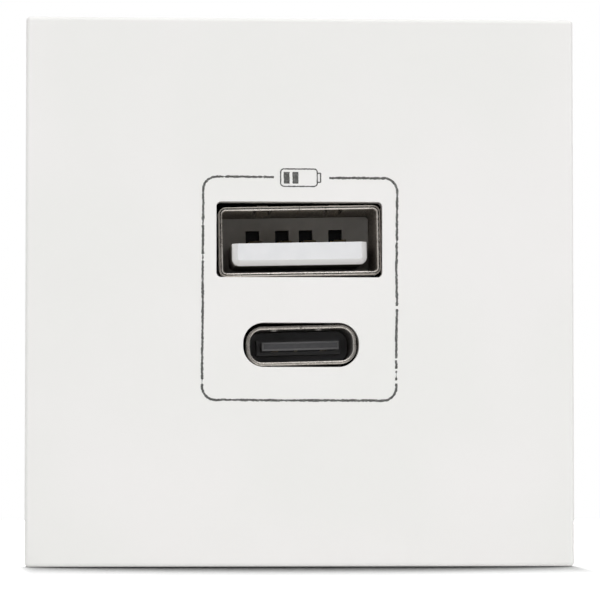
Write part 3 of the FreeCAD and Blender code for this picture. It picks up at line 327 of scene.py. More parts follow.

# %% [markdown]
# The sockets' shells are folded from plated sheet. The plating is bright but never even: it has drawing
# lines along the depth and small stains. At the mouth the narrow edge that faces the user is painted dark,
# a painted reflection of a dark room before it, between two bright bevels. Inside the shell and on the
# lip's sides the plating is painted darker as shade. The edge, the bevels and the inside are told apart by
# the surface's own direction and depth, not by the camera, so they hold from any side.

# %% Plated sheet
mouth_depth = 0.3
lip_depths = (0.12, 0.40)
edge_facing = (0.80, 0.93)
side_band = (1.0, 0.1)
rim_shares = (0.84, 0.90)


def plated_sheet(name, node, edge_reflection, bright, painted_shade, streak, side_shade, top_shade):
    """Nickel plating, bright at the lip and painted darker inside as shade, with the forward edge at the
    mouth painted dark as a reflection.

    The painted shade sets in over lip_depths behind the mouth, but the shell's outer skin stays bright.
    Drawing lines run along the depth. The lip's two sides are painted darker as shade, by side_shade within
    side_band of the shell's width. Its upper outer bevel is painted darker as shade by top_shade.
    """
    paint = Paint(name, Metallic=1.0)
    lines = paint.noise(0.10, detail=4.0, along=(1.0, 0.12, 1.0))
    stains = paint.noise(0.55, detail=4.0, roughness=0.65).between(0.50, 0.66)
    flecks = paint.noise(0.16, detail=3.0).between(0.40, 0.62)
    low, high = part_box(node)
    half, rise = [(high[k] - low[k]) / 2.0 / mm for k in (0, 2)]
    middle = middle_of(node)
    across = paint.axis("X") - middle[0] / mm
    up = paint.axis("Z") - middle[2] / mm
    side = across.math("ABSOLUTE").between(half - side_band[0], half - side_band[1])
    rim = (across.math("ABSOLUTE") / half).math("MAXIMUM", up.math("ABSOLUTE") / rise)
    outward = (paint.facing("X") * across + paint.facing("Z") * up).between(0.0, 0.5)
    front = (paint.facing("Y") * -1.0).between(*edge_facing)
    inside = (paint.axis("Y") - (front_y / mm + mouth_depth)).between(*lip_depths)

    # The edge that faces forward is painted dark, with a few bright flecks: a painted reflection.
    edge = paint.mottle(edge_reflection, bright, flecks * 0.1)
    lip = paint.mottle(bright, streak, stains * 0.5)
    # The lip's sides and its upper outer bevel are painted darker: painted shade.
    lip = paint.mix(lip, tint(*painted_shade), side * side_shade)
    lip = paint.mix(lip, tint(*painted_shade), outward * up.between(0.0, rise) * top_shade)
    lip = paint.mix(lip, edge, front)
    # Inside, the plating is painted darker as shade, except near the outline of the outer skin.
    inner = paint.mottle(painted_shade, streak, lines.between(0.45, 0.75) * 0.8)
    inner = paint.mix(inner, tint(*bright), outward * rim.between(*rim_shares))
    paint.set(Base_Color=paint.mix(lip, inner, inside))
    paint.set(Roughness=lines * 0.16 + stains * 0.16 + inside * 0.34 + 0.16)
    paint.bump(lines + stains * 0.6, 0.004)
    return paint.material


finishes["shell_a"] = plated_sheet("shell_a_nickel", "usb_a_shell", edge_reflection=(24, 22, 20),
                                   bright=(240, 236, 230), painted_shade=(136, 129, 122), streak=(202, 194, 184),
                                   side_shade=0.7, top_shade=0.15)
finishes["shell_c"] = plated_sheet("shell_c_nickel", "usb_c_shell", edge_reflection=(120, 115, 110),
                                   bright=(236, 232, 226), painted_shade=(132, 129, 126), streak=(170, 166, 161),
                                   side_shade=0.7, top_shade=0.9)
print("shells:", finishes["shell_a"].name, finishes["shell_c"].name)

# %% [markdown]
# The rest are workshop materials. Each gets its colour, a mottling at its true scale, and a roughness that
# varies with it. One function makes the plain mouldings, because they differ in numbers only. A capacitor
# or a fuse is one solid with its leads, and its body ends a little before the main board. So what lies
# behind that plane is tinned wire and takes the colour of tin.

# %% Plain mouldings
board_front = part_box("main_board")[0][1] / mm
stand_off = 0.3
disc_lift = 0.7
tin = (198, 198, 195)
tin_roughness = 0.34
tin_edge = 0.02


def moulded(name, dark, light, patch_mm, roughness, grain_mm, depth_mm, leads=None):
    """Coloured moulding that is mottled between two close colours.

    Where leads is given, the body ends that many millimetres before the main board, and what lies behind is
    its tinned leads.
    """
    paint = Paint(name, Specular_IOR_Level=0.4)
    colour = paint.mottle(dark, light, paint.noise(patch_mm, detail=3.0))
    grain = paint.noise(grain_mm, detail=2.0)
    rough = grain.about(roughness, 0.2)
    if leads is not None:
        tinned = (paint.axis("Y") - (board_front - leads)).between(-tin_edge, tin_edge)
        colour = paint.mix(colour, tint(*tin), tinned)
        rough = rough + tinned * (tin_roughness - rough)
        paint.set(Metallic=tinned)
    paint.set(Base_Color=colour)
    paint.set(Roughness=rough)
    paint.bump(grain, depth_mm)
    return paint.material


finishes.update({
    "terminal_plastic": moulded("terminal_grey", (70, 73, 76), (84, 87, 90), 1.5, 0.55, 0.14, 0.006),
    "ferrite": moulded("ferrite_grey", (44, 44, 47), (66, 66, 69), 0.7, 0.62, 0.20, 0.012),
    "bobbin_plastic": moulded("bobbin_black", (30, 30, 31), (42, 42, 44), 1.0, 0.45, 0.12, 0.004),
    "barrier_plastic": moulded("barrier_pale", (214, 212, 200), (226, 224, 213), 1.8, 0.50, 0.20, 0.004),
    "can_sleeve": moulded("can_sleeve_dark", (26, 30, 52), (34, 40, 66), 1.6, 0.30, 0.30, 0.002, stand_off),
    "film_cup": moulded("film_cup_yellow", (206, 174, 58), (222, 190, 74), 1.4, 0.36, 0.18, 0.004, stand_off),
    "fuse_cap": moulded("fuse_cap_brown", (50, 44, 40), (64, 57, 52), 1.0, 0.42, 0.16, 0.005, stand_off),
    "ceramic_coat": moulded("ceramic_coat_blue", (34, 82, 150), (46, 98, 170), 0.9, 0.24, 0.50, 0.03,
                            stand_off + disc_lift),
})
print(len(finishes), "finishes so far, main board's front at", round(board_front, 2), "mm")

# %% [markdown]
# A chip or a rectifier is one solid too: a black package with feet on its left and right. The feet are
# what lies further out than the package, so each node gets a finish that knows its own half width.

# %% Packages with feet
foot_reach = 0.8
node_slots = {row["node"]: row["material_slot"] for row in frame["record"]["subparts"]}
finish_of_node = dict(node_slots)


def package(node):
    """Black moulded package of one node, with tinned feet on its left and right."""
    low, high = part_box(node)
    paint = Paint(node + "_finish", Specular_IOR_Level=0.4)
    cloud = paint.noise(0.5, detail=3.0)
    body_half = (high[0] - low[0]) / 2.0 / mm - foot_reach
    out = (paint.axis("X") - middle_of(node)[0] / mm).math("ABSOLUTE")
    foot = (out - body_half).between(0.0, tin_edge)
    paint.set(Base_Color=paint.mix(paint.mottle((28, 28, 29), (38, 38, 39), cloud), tint(*tin), foot))
    paint.set(Metallic=foot)
    paint.set(Roughness=cloud.about(0.6, 0.2) - foot * 0.25)
    paint.bump(paint.noise(0.08, detail=2.0), 0.004)
    return paint.material


for node, slot_name in node_slots.items():
    if slot_name == "package_plastic":
        finishes[node] = package(node)
        finish_of_node[node] = node
        print("package", node)

# %% [markdown]
# The bare metals are gold on the contacts, tin on pins and bars, zinc on the screws, nickel on the clamp
# cages and the aluminium of the small cans. They differ in colour, in patch size and in the axis along
# which the marks of making are drawn out.

# %% Plain metals
mark_depth = 0.002


def metal(name, dark, light, patch_mm, roughness, along=(1.0, 1.0, 1.0)):
    """Metal that is mottled between two close colours, with marks drawn out along one axis."""
    paint = Paint(name, Metallic=1.0)
    cloud = paint.noise(patch_mm, detail=4.0, along=along)
    paint.set(Base_Color=paint.mottle(dark, light, cloud))
    paint.set(Roughness=cloud.about(roughness, 0.24))
    paint.bump(cloud, mark_depth)
    return paint.material


finishes.update({
    "gold_contact": metal("contact_gold", (176, 156, 104), (206, 186, 134), 0.5, 0.30, (1.0, 0.2, 1.0)),
    "tin_contact": metal("contact_tin", (168, 168, 166), (206, 206, 204), 0.4, 0.38),
    "screw_steel": metal("screw_zinc", (158, 154, 142), (200, 196, 184), 0.35, 0.34, (1.0, 3.0, 1.0)),
    "cage_steel": metal("cage_nickel", (166, 163, 156), (204, 201, 195), 0.6, 0.32, (1.0, 1.0, 0.3)),
    "can_metal": metal("can_aluminium", (186, 187, 189), (214, 215, 217), 0.5, 0.30, (1.0, 0.15, 1.0)),
})
print(len(finishes), "finishes so far")

# %% [markdown]
# Both boards are glass-fibre laminate. The weave of the glass shows through the lacquer as fine ripples,
# and the lacquer is lighter over copper. Real copper lies in straight runs and fields. Drawing them would
# need a layout that nobody sees, so noise that is read at snapped places gives fields with square
# outlines.

# %% Boards
weave_pitch = 0.5
copper_step = 0.9
copper_patch = 3.6
copper_edge = (0.49, 0.51)
weft_share = 0.3
weave_relief = 0.3
board_relief = 0.01


def board_laminate(name, bare, over_copper, weft, lacquer):
    """Board: a weave of two crossed sine waves under a coat of lacquer, in two shades."""
    paint = Paint(name, Coat_Weight=lacquer, Coat_Roughness=0.2, Specular_IOR_Level=lacquer)
    across = (paint.axis("X") * (2.0 * math.pi / weave_pitch)).math("SINE")
    up = (paint.axis("Z") * (2.0 * math.pi / weave_pitch)).math("SINE")
    weave = across * up * 0.5 + 0.5
    copper = paint.blocks(copper_step, copper_patch).between(*copper_edge)
    lacquered = paint.mottle(bare, over_copper, copper)
    paint.set(Base_Color=paint.mix(lacquered, tint(*weft), weave * weft_share))
    paint.set(Roughness=weave.about(0.42, 0.08))
    paint.bump(weave * weave_relief + copper, board_relief)
    return paint.material


finishes["board"] = board_laminate("board_green", (30, 92, 52), (44, 118, 66), (24, 80, 44), 0.35)
finishes["port_board"] = board_laminate("board_black", (22, 23, 24), (32, 33, 34), (16, 17, 18), 0.05)
print("boards woven at", weave_pitch, "mm")

# %% [markdown]
# The choke is wound with lacquered copper wire, and the transformer's coil is wrapped in yellow tape. In
# the solids both are plain rounds. Their turns and layers are finer than half a millimetre, so a bump
# shows them: the rounded ridges of the wire, and the faint steps of the tape.

# %% Wire and tape
wire_turn = 0.4
tape_layers_per_mm = 0.55


def wound_wire(name, dark, light, turn_mm, depth_mm):
    """Wire wound round an axis along the depth: rounded ridges, one for each turn, with painted shade between
    turns.
    """
    paint = Paint(name, Coat_Weight=0.4, Metallic=0.85)
    turn = (paint.axis("Y") * (math.pi / turn_mm)).math("SINE").math("ABSOLUTE")
    cloud = paint.noise(0.8, detail=2.0)
    # The grooves between turns are painted darker and the crests lighter: painted shade and highlight.
    paint.set(Base_Color=paint.mottle(dark, light, turn * 0.7 + cloud * 0.3))
    paint.set(Roughness=cloud.about(0.32, 0.12))
    paint.bump(turn, depth_mm)
    return paint.material


def coil_tape():
    """Yellow tape round the transformer's coil: overlapping layers show as faint steps."""
    paint = Paint("coil_tape_yellow", Coat_Weight=0.3)
    layer = (paint.axis("Z") * tape_layers_per_mm).math("FRACT")
    cloud = paint.noise(1.5, detail=2.0)
    paint.set(Base_Color=paint.mottle((206, 156, 20), (236, 192, 40), cloud))
    paint.set(Roughness=layer.about(0.34, 0.08))
    paint.bump(layer + cloud * 0.4, 0.03)
    return paint.material


finishes["copper_wire"] = wound_wire("choke_copper", (120, 52, 22), (206, 116, 60), wire_turn, 0.10)
finishes["winding"] = coil_tape()
print("wound:", finishes["copper_wire"].name, finishes["winding"].name)

# %% [markdown]
# The moulding inside the USB-C socket is dark. Faces of its tongue that slant forward are grey. Further in
# the same plastic is painted paler than at the mouth: painted light that lifts the deep shade.

# %% Dark insulator
grey_from = 2.0
grey_full = 5.0
# How far a face looks forward: where a slanted one begins, and where a square one takes over.
slant_from = (0.45, 0.6)
slant_until = (0.99, 0.8)


def socket_black():
    """Dark moulding of the USB-C socket: grey on faces that slant forward, and painted paler with the depth
    as light.
    """
    paint = Paint("insulator_black", Specular_IOR_Level=0.5)
    cloud = paint.noise(0.35, detail=4.0, roughness=0.65)
    front = paint.facing("Y") * -1.0
    slanted = front.between(*slant_from) * front.between(*slant_until)
    deep = (paint.axis("Y") - front_y / mm).between(grey_from, grey_full)
    # Further in the colour is painted paler: painted light that lifts the deep shade of the socket.
    dark = paint.mix(paint.mottle((34, 34, 36), (62, 62, 64), cloud), tint(96, 96, 98), deep)
    paint.set(Base_Color=paint.mix(dark, tint(140, 140, 142), slanted * 0.75))
    paint.set(Roughness=cloud.about(0.50, 0.2))
    paint.bump(cloud, 0.004)
    return paint.material


finishes["black_insulator"] = socket_black()
print(len(finishes), "finishes in all")

# %% [markdown]
# ## Dressing the solids
#
# The record says which slot each node takes, and the finish goes into the slots of the node's own object.
# Three nodes and the packages have a finish of their own. The solids keep their meshes: they come from the
# frame with soft shading on their rounds already.

# %% Give every node its finish
finish_of_node.update(usb_a_shell="shell_a", usb_c_shell="shell_c", port_board="port_board")
nodes_of_body = frame["record"]["behaviour"]["bodies"]
body_of_node = {node: body for body, nodes in nodes_of_body.items() for node in nodes}

for node, finish_name in finish_of_node.items():
    for slot in frame["nodes"][node].material_slots:
        slot.material = finishes[finish_name]
print("dressed", len(finish_of_node), "nodes")

# %% [markdown]
# ## Threads of the clamping screws
#
# In the solids a clamping screw has a plain shank of the thread's outer size. The real one is an M3 screw
# whose thread is rolled into the shank, so the ridges stay at the old surface and the grooves go below it.
# A bump would leave the outline straight, and the thread is seen from the side once the terminal is open.
# So the shank is a new surface whose radius follows the thread.

# %% Threaded shank
thread_pitch = 0.5 * mm
thread_depth = 0.307 * mm
thread_rows = 10
thread_spokes = 40
flank_stretch = 1.6
root_share = 0.35


def thread_surface(x, z, start, end, crest):
    """Closed shank with a right-handed thread, as points and faces.

    At height y and angle a the phase is y over the pitch less a over a full turn. In each phase a wave rises
    evenly from 0 to 1 and falls back. Stretched by flank_stretch, lowered by root_share and cut to 0 and 1,
    it gives the ridge flanks of about 54 degrees with a small flat at root and crest. At the tip a chamfer
    of 45 degrees cuts the ridges down to the root.
    """
    rows = int((end - start) / thread_pitch * thread_rows) + 1
    y, angle = np.meshgrid(np.linspace(start, end, rows),
                           np.linspace(0.0, 2.0 * math.pi, thread_spokes, endpoint=False), indexing="ij")
    phase = (y / thread_pitch - angle / (2.0 * math.pi)) % 1.0
    wave = 1.0 - np.abs(2.0 * phase - 1.0)
    ridge = np.clip(wave * flank_stretch - root_share, 0.0, 1.0)
    radius = np.minimum(crest - thread_depth * (1.0 - ridge), crest - thread_depth + (y - start))
    points = np.stack([x + radius * np.sin(angle), y, z + radius * np.cos(angle)], 2).reshape(-1, 3)
    row, spoke = np.meshgrid(np.arange(rows - 1), np.arange(thread_spokes), indexing="ij")
    here = (row * thread_spokes + spoke).ravel()
    beside = (row * thread_spokes + (spoke + 1) % thread_spokes).ravel()
    sides = np.column_stack([here, here + thread_spokes, beside + thread_spokes, beside]).tolist()
    tip = list(range(thread_spokes))
    root = [(rows - 1) * thread_spokes + index for index in reversed(range(thread_spokes))]
    return points, sides + [tip, root]


print("M3 thread,", round(thread_pitch / mm, 2), "mm pitch,", round(thread_depth / mm, 3), "mm deep")

# %% [markdown]
# The head of the new screw is a copy of the node's own head. A node's mesh is loose triangles, so the copy
# is merged first. The plain shank is cut off, the hole is closed, and the threaded shank starts inside the
# head. The new piece then replaces the node and rides on the same body.

# %% Screws of both poles
merge_reach = 0.0005 * mm
shank_reach = 0.01 * mm
head_bite = 0.2 * mm
sharp_edge = math.radians(35.0)


def threaded_screw(pole):
    """Clamping screw of one pole: the node's head on a threaded shank, in the node's place."""
    node = "terminal_screw_" + pole
    low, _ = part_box(node)
    x, _, z = middle_of(node)
    form = bmesh.new()
    form.from_mesh(frame["nodes"][node].data)
    bmesh.ops.remove_doubles(form, verts=form.verts, dist=merge_reach)
    shank = [face for face in form.faces if min(vert.co.y for vert in face.verts) < low[1] + shank_reach]
    shank_points = [vert.co for face in shank for vert in face.verts]
    under_head = max(point.y for point in shank_points)
    crest = max(math.hypot(point.x - x, point.z - z) for point in shank_points)
    bmesh.ops.delete(form, geom=shank, context="FACES")
    bmesh.ops.holes_fill(form, edges=form.edges)
    points, faces = thread_surface(x, z, low[1], under_head + head_bite, crest)
    verts = [form.verts.new(point) for point in points.tolist()]
    for face in faces:
        form.faces.new([verts[index] for index in face])
    bmesh.ops.recalc_face_normals(form, faces=form.faces)
    mesh = bpy.data.meshes.new("clamping_screw_" + pole)
    form.to_mesh(mesh)
    form.free()
    mesh.materials.clear()
    mesh.materials.append(finishes["screw_steel"])
    mesh.polygons.foreach_set("material_index", np.zeros(len(mesh.polygons), np.int32))
    mesh.shade_smooth()
    mesh.set_sharp_from_angle(angle=sharp_edge)
    piece = bpy.data.objects.new("clamping_screw_" + pole, mesh)
    bpy.context.scene.collection.objects.link(piece)
    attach(piece, body_of_node[node])
    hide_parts(node)
    print(piece.name, len(mesh.polygons), "faces, crest", round(crest / mm, 2), "mm")


for pole in ("live", "neutral"):
    threaded_screw(pole)

# %% [markdown]
# ## The printed frame and the battery sign
#
# The plate carries a thin frame round both sockets, broken at the top by a small battery sign. It is ink,
# printed with a pad: a hundredth of a millimetre proud, a little ragged, with a few breaks where the pad
# missed. A ragged line could be a picture on the plate, but a picture has a fixed sharpness. So the ink is
# a real film: a strip that follows the frame's path, whose two edges wander by noise and close up at the
# breaks.

# %% Noise along a line
def wander(length, knot, seed):
    """Smooth random values along a line of that many samples, with a new random knot at every so many."""
    draw = np.random.default_rng(seed)
    knots = draw.uniform(-1.0, 1.0, length // knot + 3)
    spots = np.arange(length) / knot
    index = spots.astype(int)
    share = spots - index
    ease = share * share * (3.0 - 2.0 * share)
    return knots[index] * (1.0 - ease) + knots[index + 1] * ease


print("wander swings by", round(float(np.ptp(wander(200, 9, 3))), 2), "over 200 samples")

# %% [markdown]
# Both outlines are rectangles with round corners. The path is worked out roughly first, corner by corner,
# and then read off at even steps, so that the noise has the same scale everywhere.

# %% Paths
least_corner_steps = 4


def lengths_along(path):
    """Length of a path up to each of its points."""
    return np.concatenate([[0.0], np.cumsum(np.hypot(*np.diff(path, axis=0).T))])


def evenly(path, count):
    """That many points at even steps along a path, from its first point to its last."""
    lengths = lengths_along(path)
    even = np.linspace(0.0, lengths[-1], count)
    return np.stack([np.interp(even, lengths, path[:, k]) for k in (0, 1)], 1)


def sideways(path):
    """Unit vector across a path at each point: the direction of travel turned by a quarter, to the right."""
    way = np.gradient(path, axis=0)
    way /= np.hypot(way[:, 0], way[:, 1])[:, None]
    return np.stack([way[:, 1], -way[:, 0]], 1)


def rounded_path(width, height, corner, step):
    """Points on a rectangle with round corners, clockwise from the middle of its top side, about step apart.

    Each point is the corner's centre plus the corner radius along a direction. The direction turns by a
    quarter at each corner and stays still on the straights.
    """
    a, b = width / 2.0 - corner, height / 2.0 - corner
    centres = [(a, b), (a, -b), (-a, -b), (-a, b)]
    points = [np.array([[0.0, height / 2.0]])]
    for number, (x, z) in enumerate(centres):
        count = max(int(corner * math.pi / 2.0 / step), least_corner_steps)
        turn = math.pi / 2.0 * (1.0 - number) - np.linspace(0.0, math.pi / 2.0, count + 1)
        points.append(np.stack([x + corner * np.cos(turn), z + corner * np.sin(turn)], 1))
    points.append(np.array([[0.0, height / 2.0]]))
    rough = np.concatenate(points)
    return evenly(rough, int(lengths_along(rough)[-1] / step) + 1)


print("a 10 x 10 square with corners of 1 has", len(rounded_path(10.0, 10.0, 1.0, 0.5)), "points 0.5 apart")

# %% [markdown]
# Pad ink is matt and grey, thinner in some patches than in others. Each run of it becomes a closed film
# whose back is sunk in the plate, so that no gap and no shared surface can flicker between the two.

# %% Ink as a film
ink_proud = 0.008 * mm
ink_sunk = 0.02 * mm


def ink():
    """Dark grey pad ink: mottled where the film is thin, and matt."""
    paint = Paint("ink_grey", Specular_IOR_Level=0.3)
    thin = paint.noise(0.22, detail=4.0, roughness=0.7).between(0.42, 0.72)
    paint.set(Base_Color=paint.mottle((78, 78, 76), (128, 128, 126), thin))
    paint.set(Roughness=thin.about(0.65, 0.2))
    return paint.material


def ink_film(name, runs, material):
    """Closed thin films: each run is its right edge and its left edge, arrays of (x, z) points side by side.

    The film's front lies ink_proud before the plate, and its back is sunk in it. Four rows of points, right
    and left at the front and at the back, make a tube of flat quads, and a quad closes each end.
    """
    verts, faces = [], []
    for right, left in runs:
        count = len(right)
        start = sum(len(block) for block in verts)
        rows = []
        for edge, y in ((right, -ink_proud), (left, -ink_proud), (left, ink_sunk), (right, ink_sunk)):
            rows.append(np.column_stack([edge[:, 0], np.full(count, front_y + y), edge[:, 1]]))
        verts.append(np.stack(rows, 1).reshape(-1, 3))
        first = start + 4 * np.arange(count - 1)
        for k in range(4):
            after = (k + 1) % 4
            faces.append(np.column_stack([first + k, first + 4 + k, first + 4 + after, first + after]))
        last = start + 4 * (count - 1)
        corners = np.arange(4)
        faces.append(np.array([start + corners, last + corners[::-1]]))
    mesh = bpy.data.meshes.new(name)
    mesh.from_pydata(np.concatenate(verts).tolist(), [], np.concatenate(faces).tolist())
    form = bmesh.new()
    form.from_mesh(mesh)
    bmesh.ops.recalc_face_normals(form, faces=form.faces)
    form.to_mesh(mesh)
    form.free()
    mesh.materials.append(material)
    piece = bpy.data.objects.new(name, mesh)
    bpy.context.scene.collection.objects.link(piece)
    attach(piece, body_of_node["front_cover"])
    print(name, "printed in", len(runs), "runs")


ink_material = ink()
print("ink film", round((ink_proud + ink_sunk) / mm, 3), "mm thick")

# %% [markdown]
# The frame is 15.9 mm wide and 18.3 mm high, with corners of 1.1 mm. Its places are real sizes on the
# plate, measured from the plate's middle. The breaks are given by the side they are on and how far they
# reach.

# %% Printed frame
frame_width = 15.93 * mm
frame_height = 18.27 * mm
frame_corner = 1.1 * mm
frame_middle = (-0.085 * mm, 0.225 * mm)
frame_tilt = math.radians(-0.2)
line_half = 0.094 * mm
line_step = 0.05 * mm
line_ragged = 0.034 * mm
swell_share = 0.55
fray_share = 0.75
line_drift = 0.03 * mm
break_crumble = 0.55
least_share = 0.12
least_points = 2
# How many points of the path lie between two random knots, and the seed of each draw.
right_knot = 9
left_knot = 7
fray_knot = 2
drift_knot = 60
break_knot = 3
right_seed = 3
left_seed = 5
drift_seed = 7
break_seed = 8
sign_gap = (-2.19 * mm, 2.30 * mm)
# Breaks: side, from, to, how much of the line is gone. Places are heights or, on the top, places across.
frame_breaks = [
    ("left", 5.38, 5.79, 0.6), ("left", 2.50, 3.04, 0.72), ("left", -7.59, -7.18, 0.72),
    ("right", 4.05, 4.25, 0.8), ("right", -1.40, -1.20, 1.0),
    ("right", -5.62, -5.48, 0.7), ("right", -7.05, -6.33, 0.62), ("right", -7.48, -7.32, 1.0),
    ("top", -6.32, -6.18, 0.9), ("top", -3.16, -3.04, 0.5),
]


def on_side(path, name, low, high):
    """True for the points on one side of the frame between two places in millimetres."""
    x, z = path[:, 0], path[:, 1]
    if name == "top":
        return (z > frame_height / 2.0 - frame_corner) & (x > low * mm) & (x < high * mm)
    outward = -x if name == "left" else x
    return (outward > frame_width / 2.0 - frame_corner) & (z > low * mm) & (z < high * mm)


def ragged_half(count, knot, seed):
    """Half the line's width along one of its edges: even, plus a slow swell and a fast fray."""
    swell = wander(count, knot, seed)
    fray = wander(count, fray_knot, seed + 1)
    return line_half + line_ragged * (swell_share * swell + fray_share * fray)


def frame_runs():
    """The frame's path cut into the runs that are printed, each as its right and left edges.

    kept is the share of the line's width that is printed: 1 on sound stretches, 0 at the sign, and less
    than 1 and crumbly at the breaks. The whole line also drifts a little to one side and the other.
    """
    path = rounded_path(frame_width, frame_height, frame_corner, line_step)
    cosine, sine = math.cos(frame_tilt), math.sin(frame_tilt)
    path = path @ np.array([[cosine, sine], [-sine, cosine]]) + np.array(frame_middle)
    count = len(path)
    right_half = ragged_half(count, right_knot, right_seed)
    left_half = ragged_half(count, left_knot, left_seed)
    drift = line_drift * wander(count, drift_knot, drift_seed)
    kept = np.ones(count)
    for name, low, high, gone in frame_breaks:
        there = on_side(path, name, low, high)
        kept[there] = np.minimum(kept[there], 1.0 - gone)
    at_sign = (path[:, 1] > frame_middle[1]) & (path[:, 0] > sign_gap[0]) & (path[:, 0] < sign_gap[1])
    kept[at_sign] = 0.0
    crumbly = (kept > 0.0) & (kept < 1.0)
    crumbled = kept + break_crumble * wander(count, break_knot, break_seed)
    kept = np.where(crumbly, np.clip(crumbled, 0.0, 1.0), kept)
    side = sideways(path)
    right = path + side * (drift + right_half * kept)[:, None]
    left = path + side * (drift - left_half * kept)[:, None]
    drawn = np.concatenate([[0], kept > least_share, [0]])
    ends = np.flatnonzero(np.diff(drawn))
    spans = [(start, end) for start, end in zip(ends[::2], ends[1::2]) if end - start > least_points]
    return [(right[start:end], left[start:end]) for start, end in spans]


ink_film("printed_frame", frame_runs(), ink_material)

# %% [markdown]
# The battery sign is the common one: a rounded outline, a small nub and two filled bars. Its outline is
# the same kind of strip, thinner. The bars are filled fields whose long edges are ragged.

# %% Battery sign
sign_width = 3.01 * mm
sign_height = 1.43 * mm
sign_corner = 0.27 * mm
sign_middle = (-0.145 * mm, 9.34 * mm)
sign_line_half = 0.052 * mm
outline_ragged = 0.25 * sign_line_half
nub_ragged = 0.2 * sign_line_half
sign_step = 0.03 * mm
nub_reach = 0.27 * mm
nub_height = 0.74 * mm
bar_width = 0.48 * mm
bar_height = 0.98 * mm
bar_places = (-1.005 * mm, -0.285 * mm)
bar_step = 0.04 * mm
bar_ragged = 0.025 * mm
strip_knot = 3
outline_seed = 21
nub_seed = 23
bar_seed = 31


def strip_along(path, half, ragged, seed):
    """Right and left edges of a strip of even width with ragged sides along a path."""
    side = sideways(path)
    right = half + ragged * wander(len(path), strip_knot, seed)
    left = half + ragged * wander(len(path), strip_knot, seed + 1)
    return path + side * right[:, None], path - side * left[:, None]


def sign_runs():
    """Outline, nub and two filled bars."""
    middle = np.array(sign_middle)
    outline = rounded_path(sign_width, sign_height, sign_corner, sign_step)
    found = [strip_along(outline + middle, sign_line_half, outline_ragged, outline_seed)]
    near, far = sign_width / 2.0, sign_width / 2.0 + nub_reach
    corners = np.array([[near, nub_height / 2.0], [far, nub_height / 2.0], [far, -nub_height / 2.0],
                        [near, -nub_height / 2.0]])
    nub = evenly(corners, int(lengths_along(corners)[-1] / sign_step))
    found.append(strip_along(nub + middle, sign_line_half, nub_ragged, nub_seed))
    for number, x in enumerate(bar_places):
        up = np.arange(-bar_height / 2.0, bar_height / 2.0, bar_step)
        spine = np.stack([np.full(len(up), x), up], 1) + middle
        found.append(strip_along(spine, bar_width / 2.0, bar_ragged, bar_seed + 2 * number))
    return found


ink_film("battery_sign", sign_runs(), ink_material)

# %% [markdown]
# ## Floor, lamps and camera
#
# The floor is white and wide. A camera ray sees it a little brighter than it is, so it merges with the
# white background, and only the object's shadow stays. That is done in the floor's own shader and adds no
# light to the object. A brighter floor would also burn out the faint shadow at the object's foot. So the
# shader finds how open the surroundings of each point are, and stretches that share to what the camera
# sees.

# %% Floor
floor_reach = 0.30
floor_level = 0.95
floor_seen = 1.2
floor_beside = 4.0
shadow_reach = 38.0 * mm
shadow_samples = 12
openness_before = (0.55, 1.01)
openness_beside = (0.25, 0.80)
fade_behind = (0.0, 2.0)
fade_beside = (-1.0, 4.0)


def floor_material():
    """White floor: plain for light, brighter for the camera, with the object's contact shadow deepened.

    Openness is the share of a point's surroundings, within shadow_reach, that the object leaves free: a half
    at a wall's foot and 1 away from it. Before the plate it is stretched gently, which keeps the soft line
    under the plate's edge. Behind the plate's face and past its corners the deep body would darken a wide
    strip, so there it is stretched hard, which leaves a narrow shadow. The two fade into one another over a
    few millimetres.
    """
    paint = Paint("floor_white", Specular_IOR_Level=0.0, Roughness=1.0)
    path = paint.add("ShaderNodeLightPath", {}, {}, "Is Camera Ray")
    openness = paint.add("ShaderNodeAmbientOcclusion", {"samples": shadow_samples},
                         {"Distance": shadow_reach}, "AO")
    before = openness.between(*openness_before) * floor_seen
    beside = openness.between(*openness_beside) * floor_beside
    behind = (paint.axis("Y") - front_y / mm).between(*fade_behind)
    past_corner = (paint.axis("X").math("ABSOLUTE") - half_side / mm).between(*fade_beside)
    seen = before + behind.math("MAXIMUM", past_corner) * (beside - before)
    level = path * (seen - floor_level) + floor_level
    paint.set(Base_Color=paint.add("ShaderNodeCombineColor", {}, {0: level, 1: level, 2: level}))
    return paint.material


def make_floor():
    """Square floor under the object."""
    corners = [(-floor_reach, -floor_reach), (floor_reach, -floor_reach), (floor_reach, floor_reach),
               (-floor_reach, floor_reach)]
    mesh = bpy.data.meshes.new("floor")
    mesh.from_pydata([(x, y, floor_z) for x, y in corners], [], [(0, 1, 2, 3)])
    mesh.materials.append(floor_material())
    floor = bpy.data.objects.new("floor", mesh)
    bpy.context.scene.collection.objects.link(floor)


make_floor()
print("floor at", round(floor_z / mm, 2), "mm, shadow reaches", round(shadow_reach / mm, 1), "mm")

# %% [markdown]
# The world is white where the camera looks past the floor and where a metal reflects it. As a light it is
# much weaker, a soft fill, so that the lamps keep their shape on the plate. Light Path tells the rays
# apart: the three kinds that see white are added, cut off at 1, and raise the strength from the fill to
# full white.

# %% World
fill_strength = 0.20


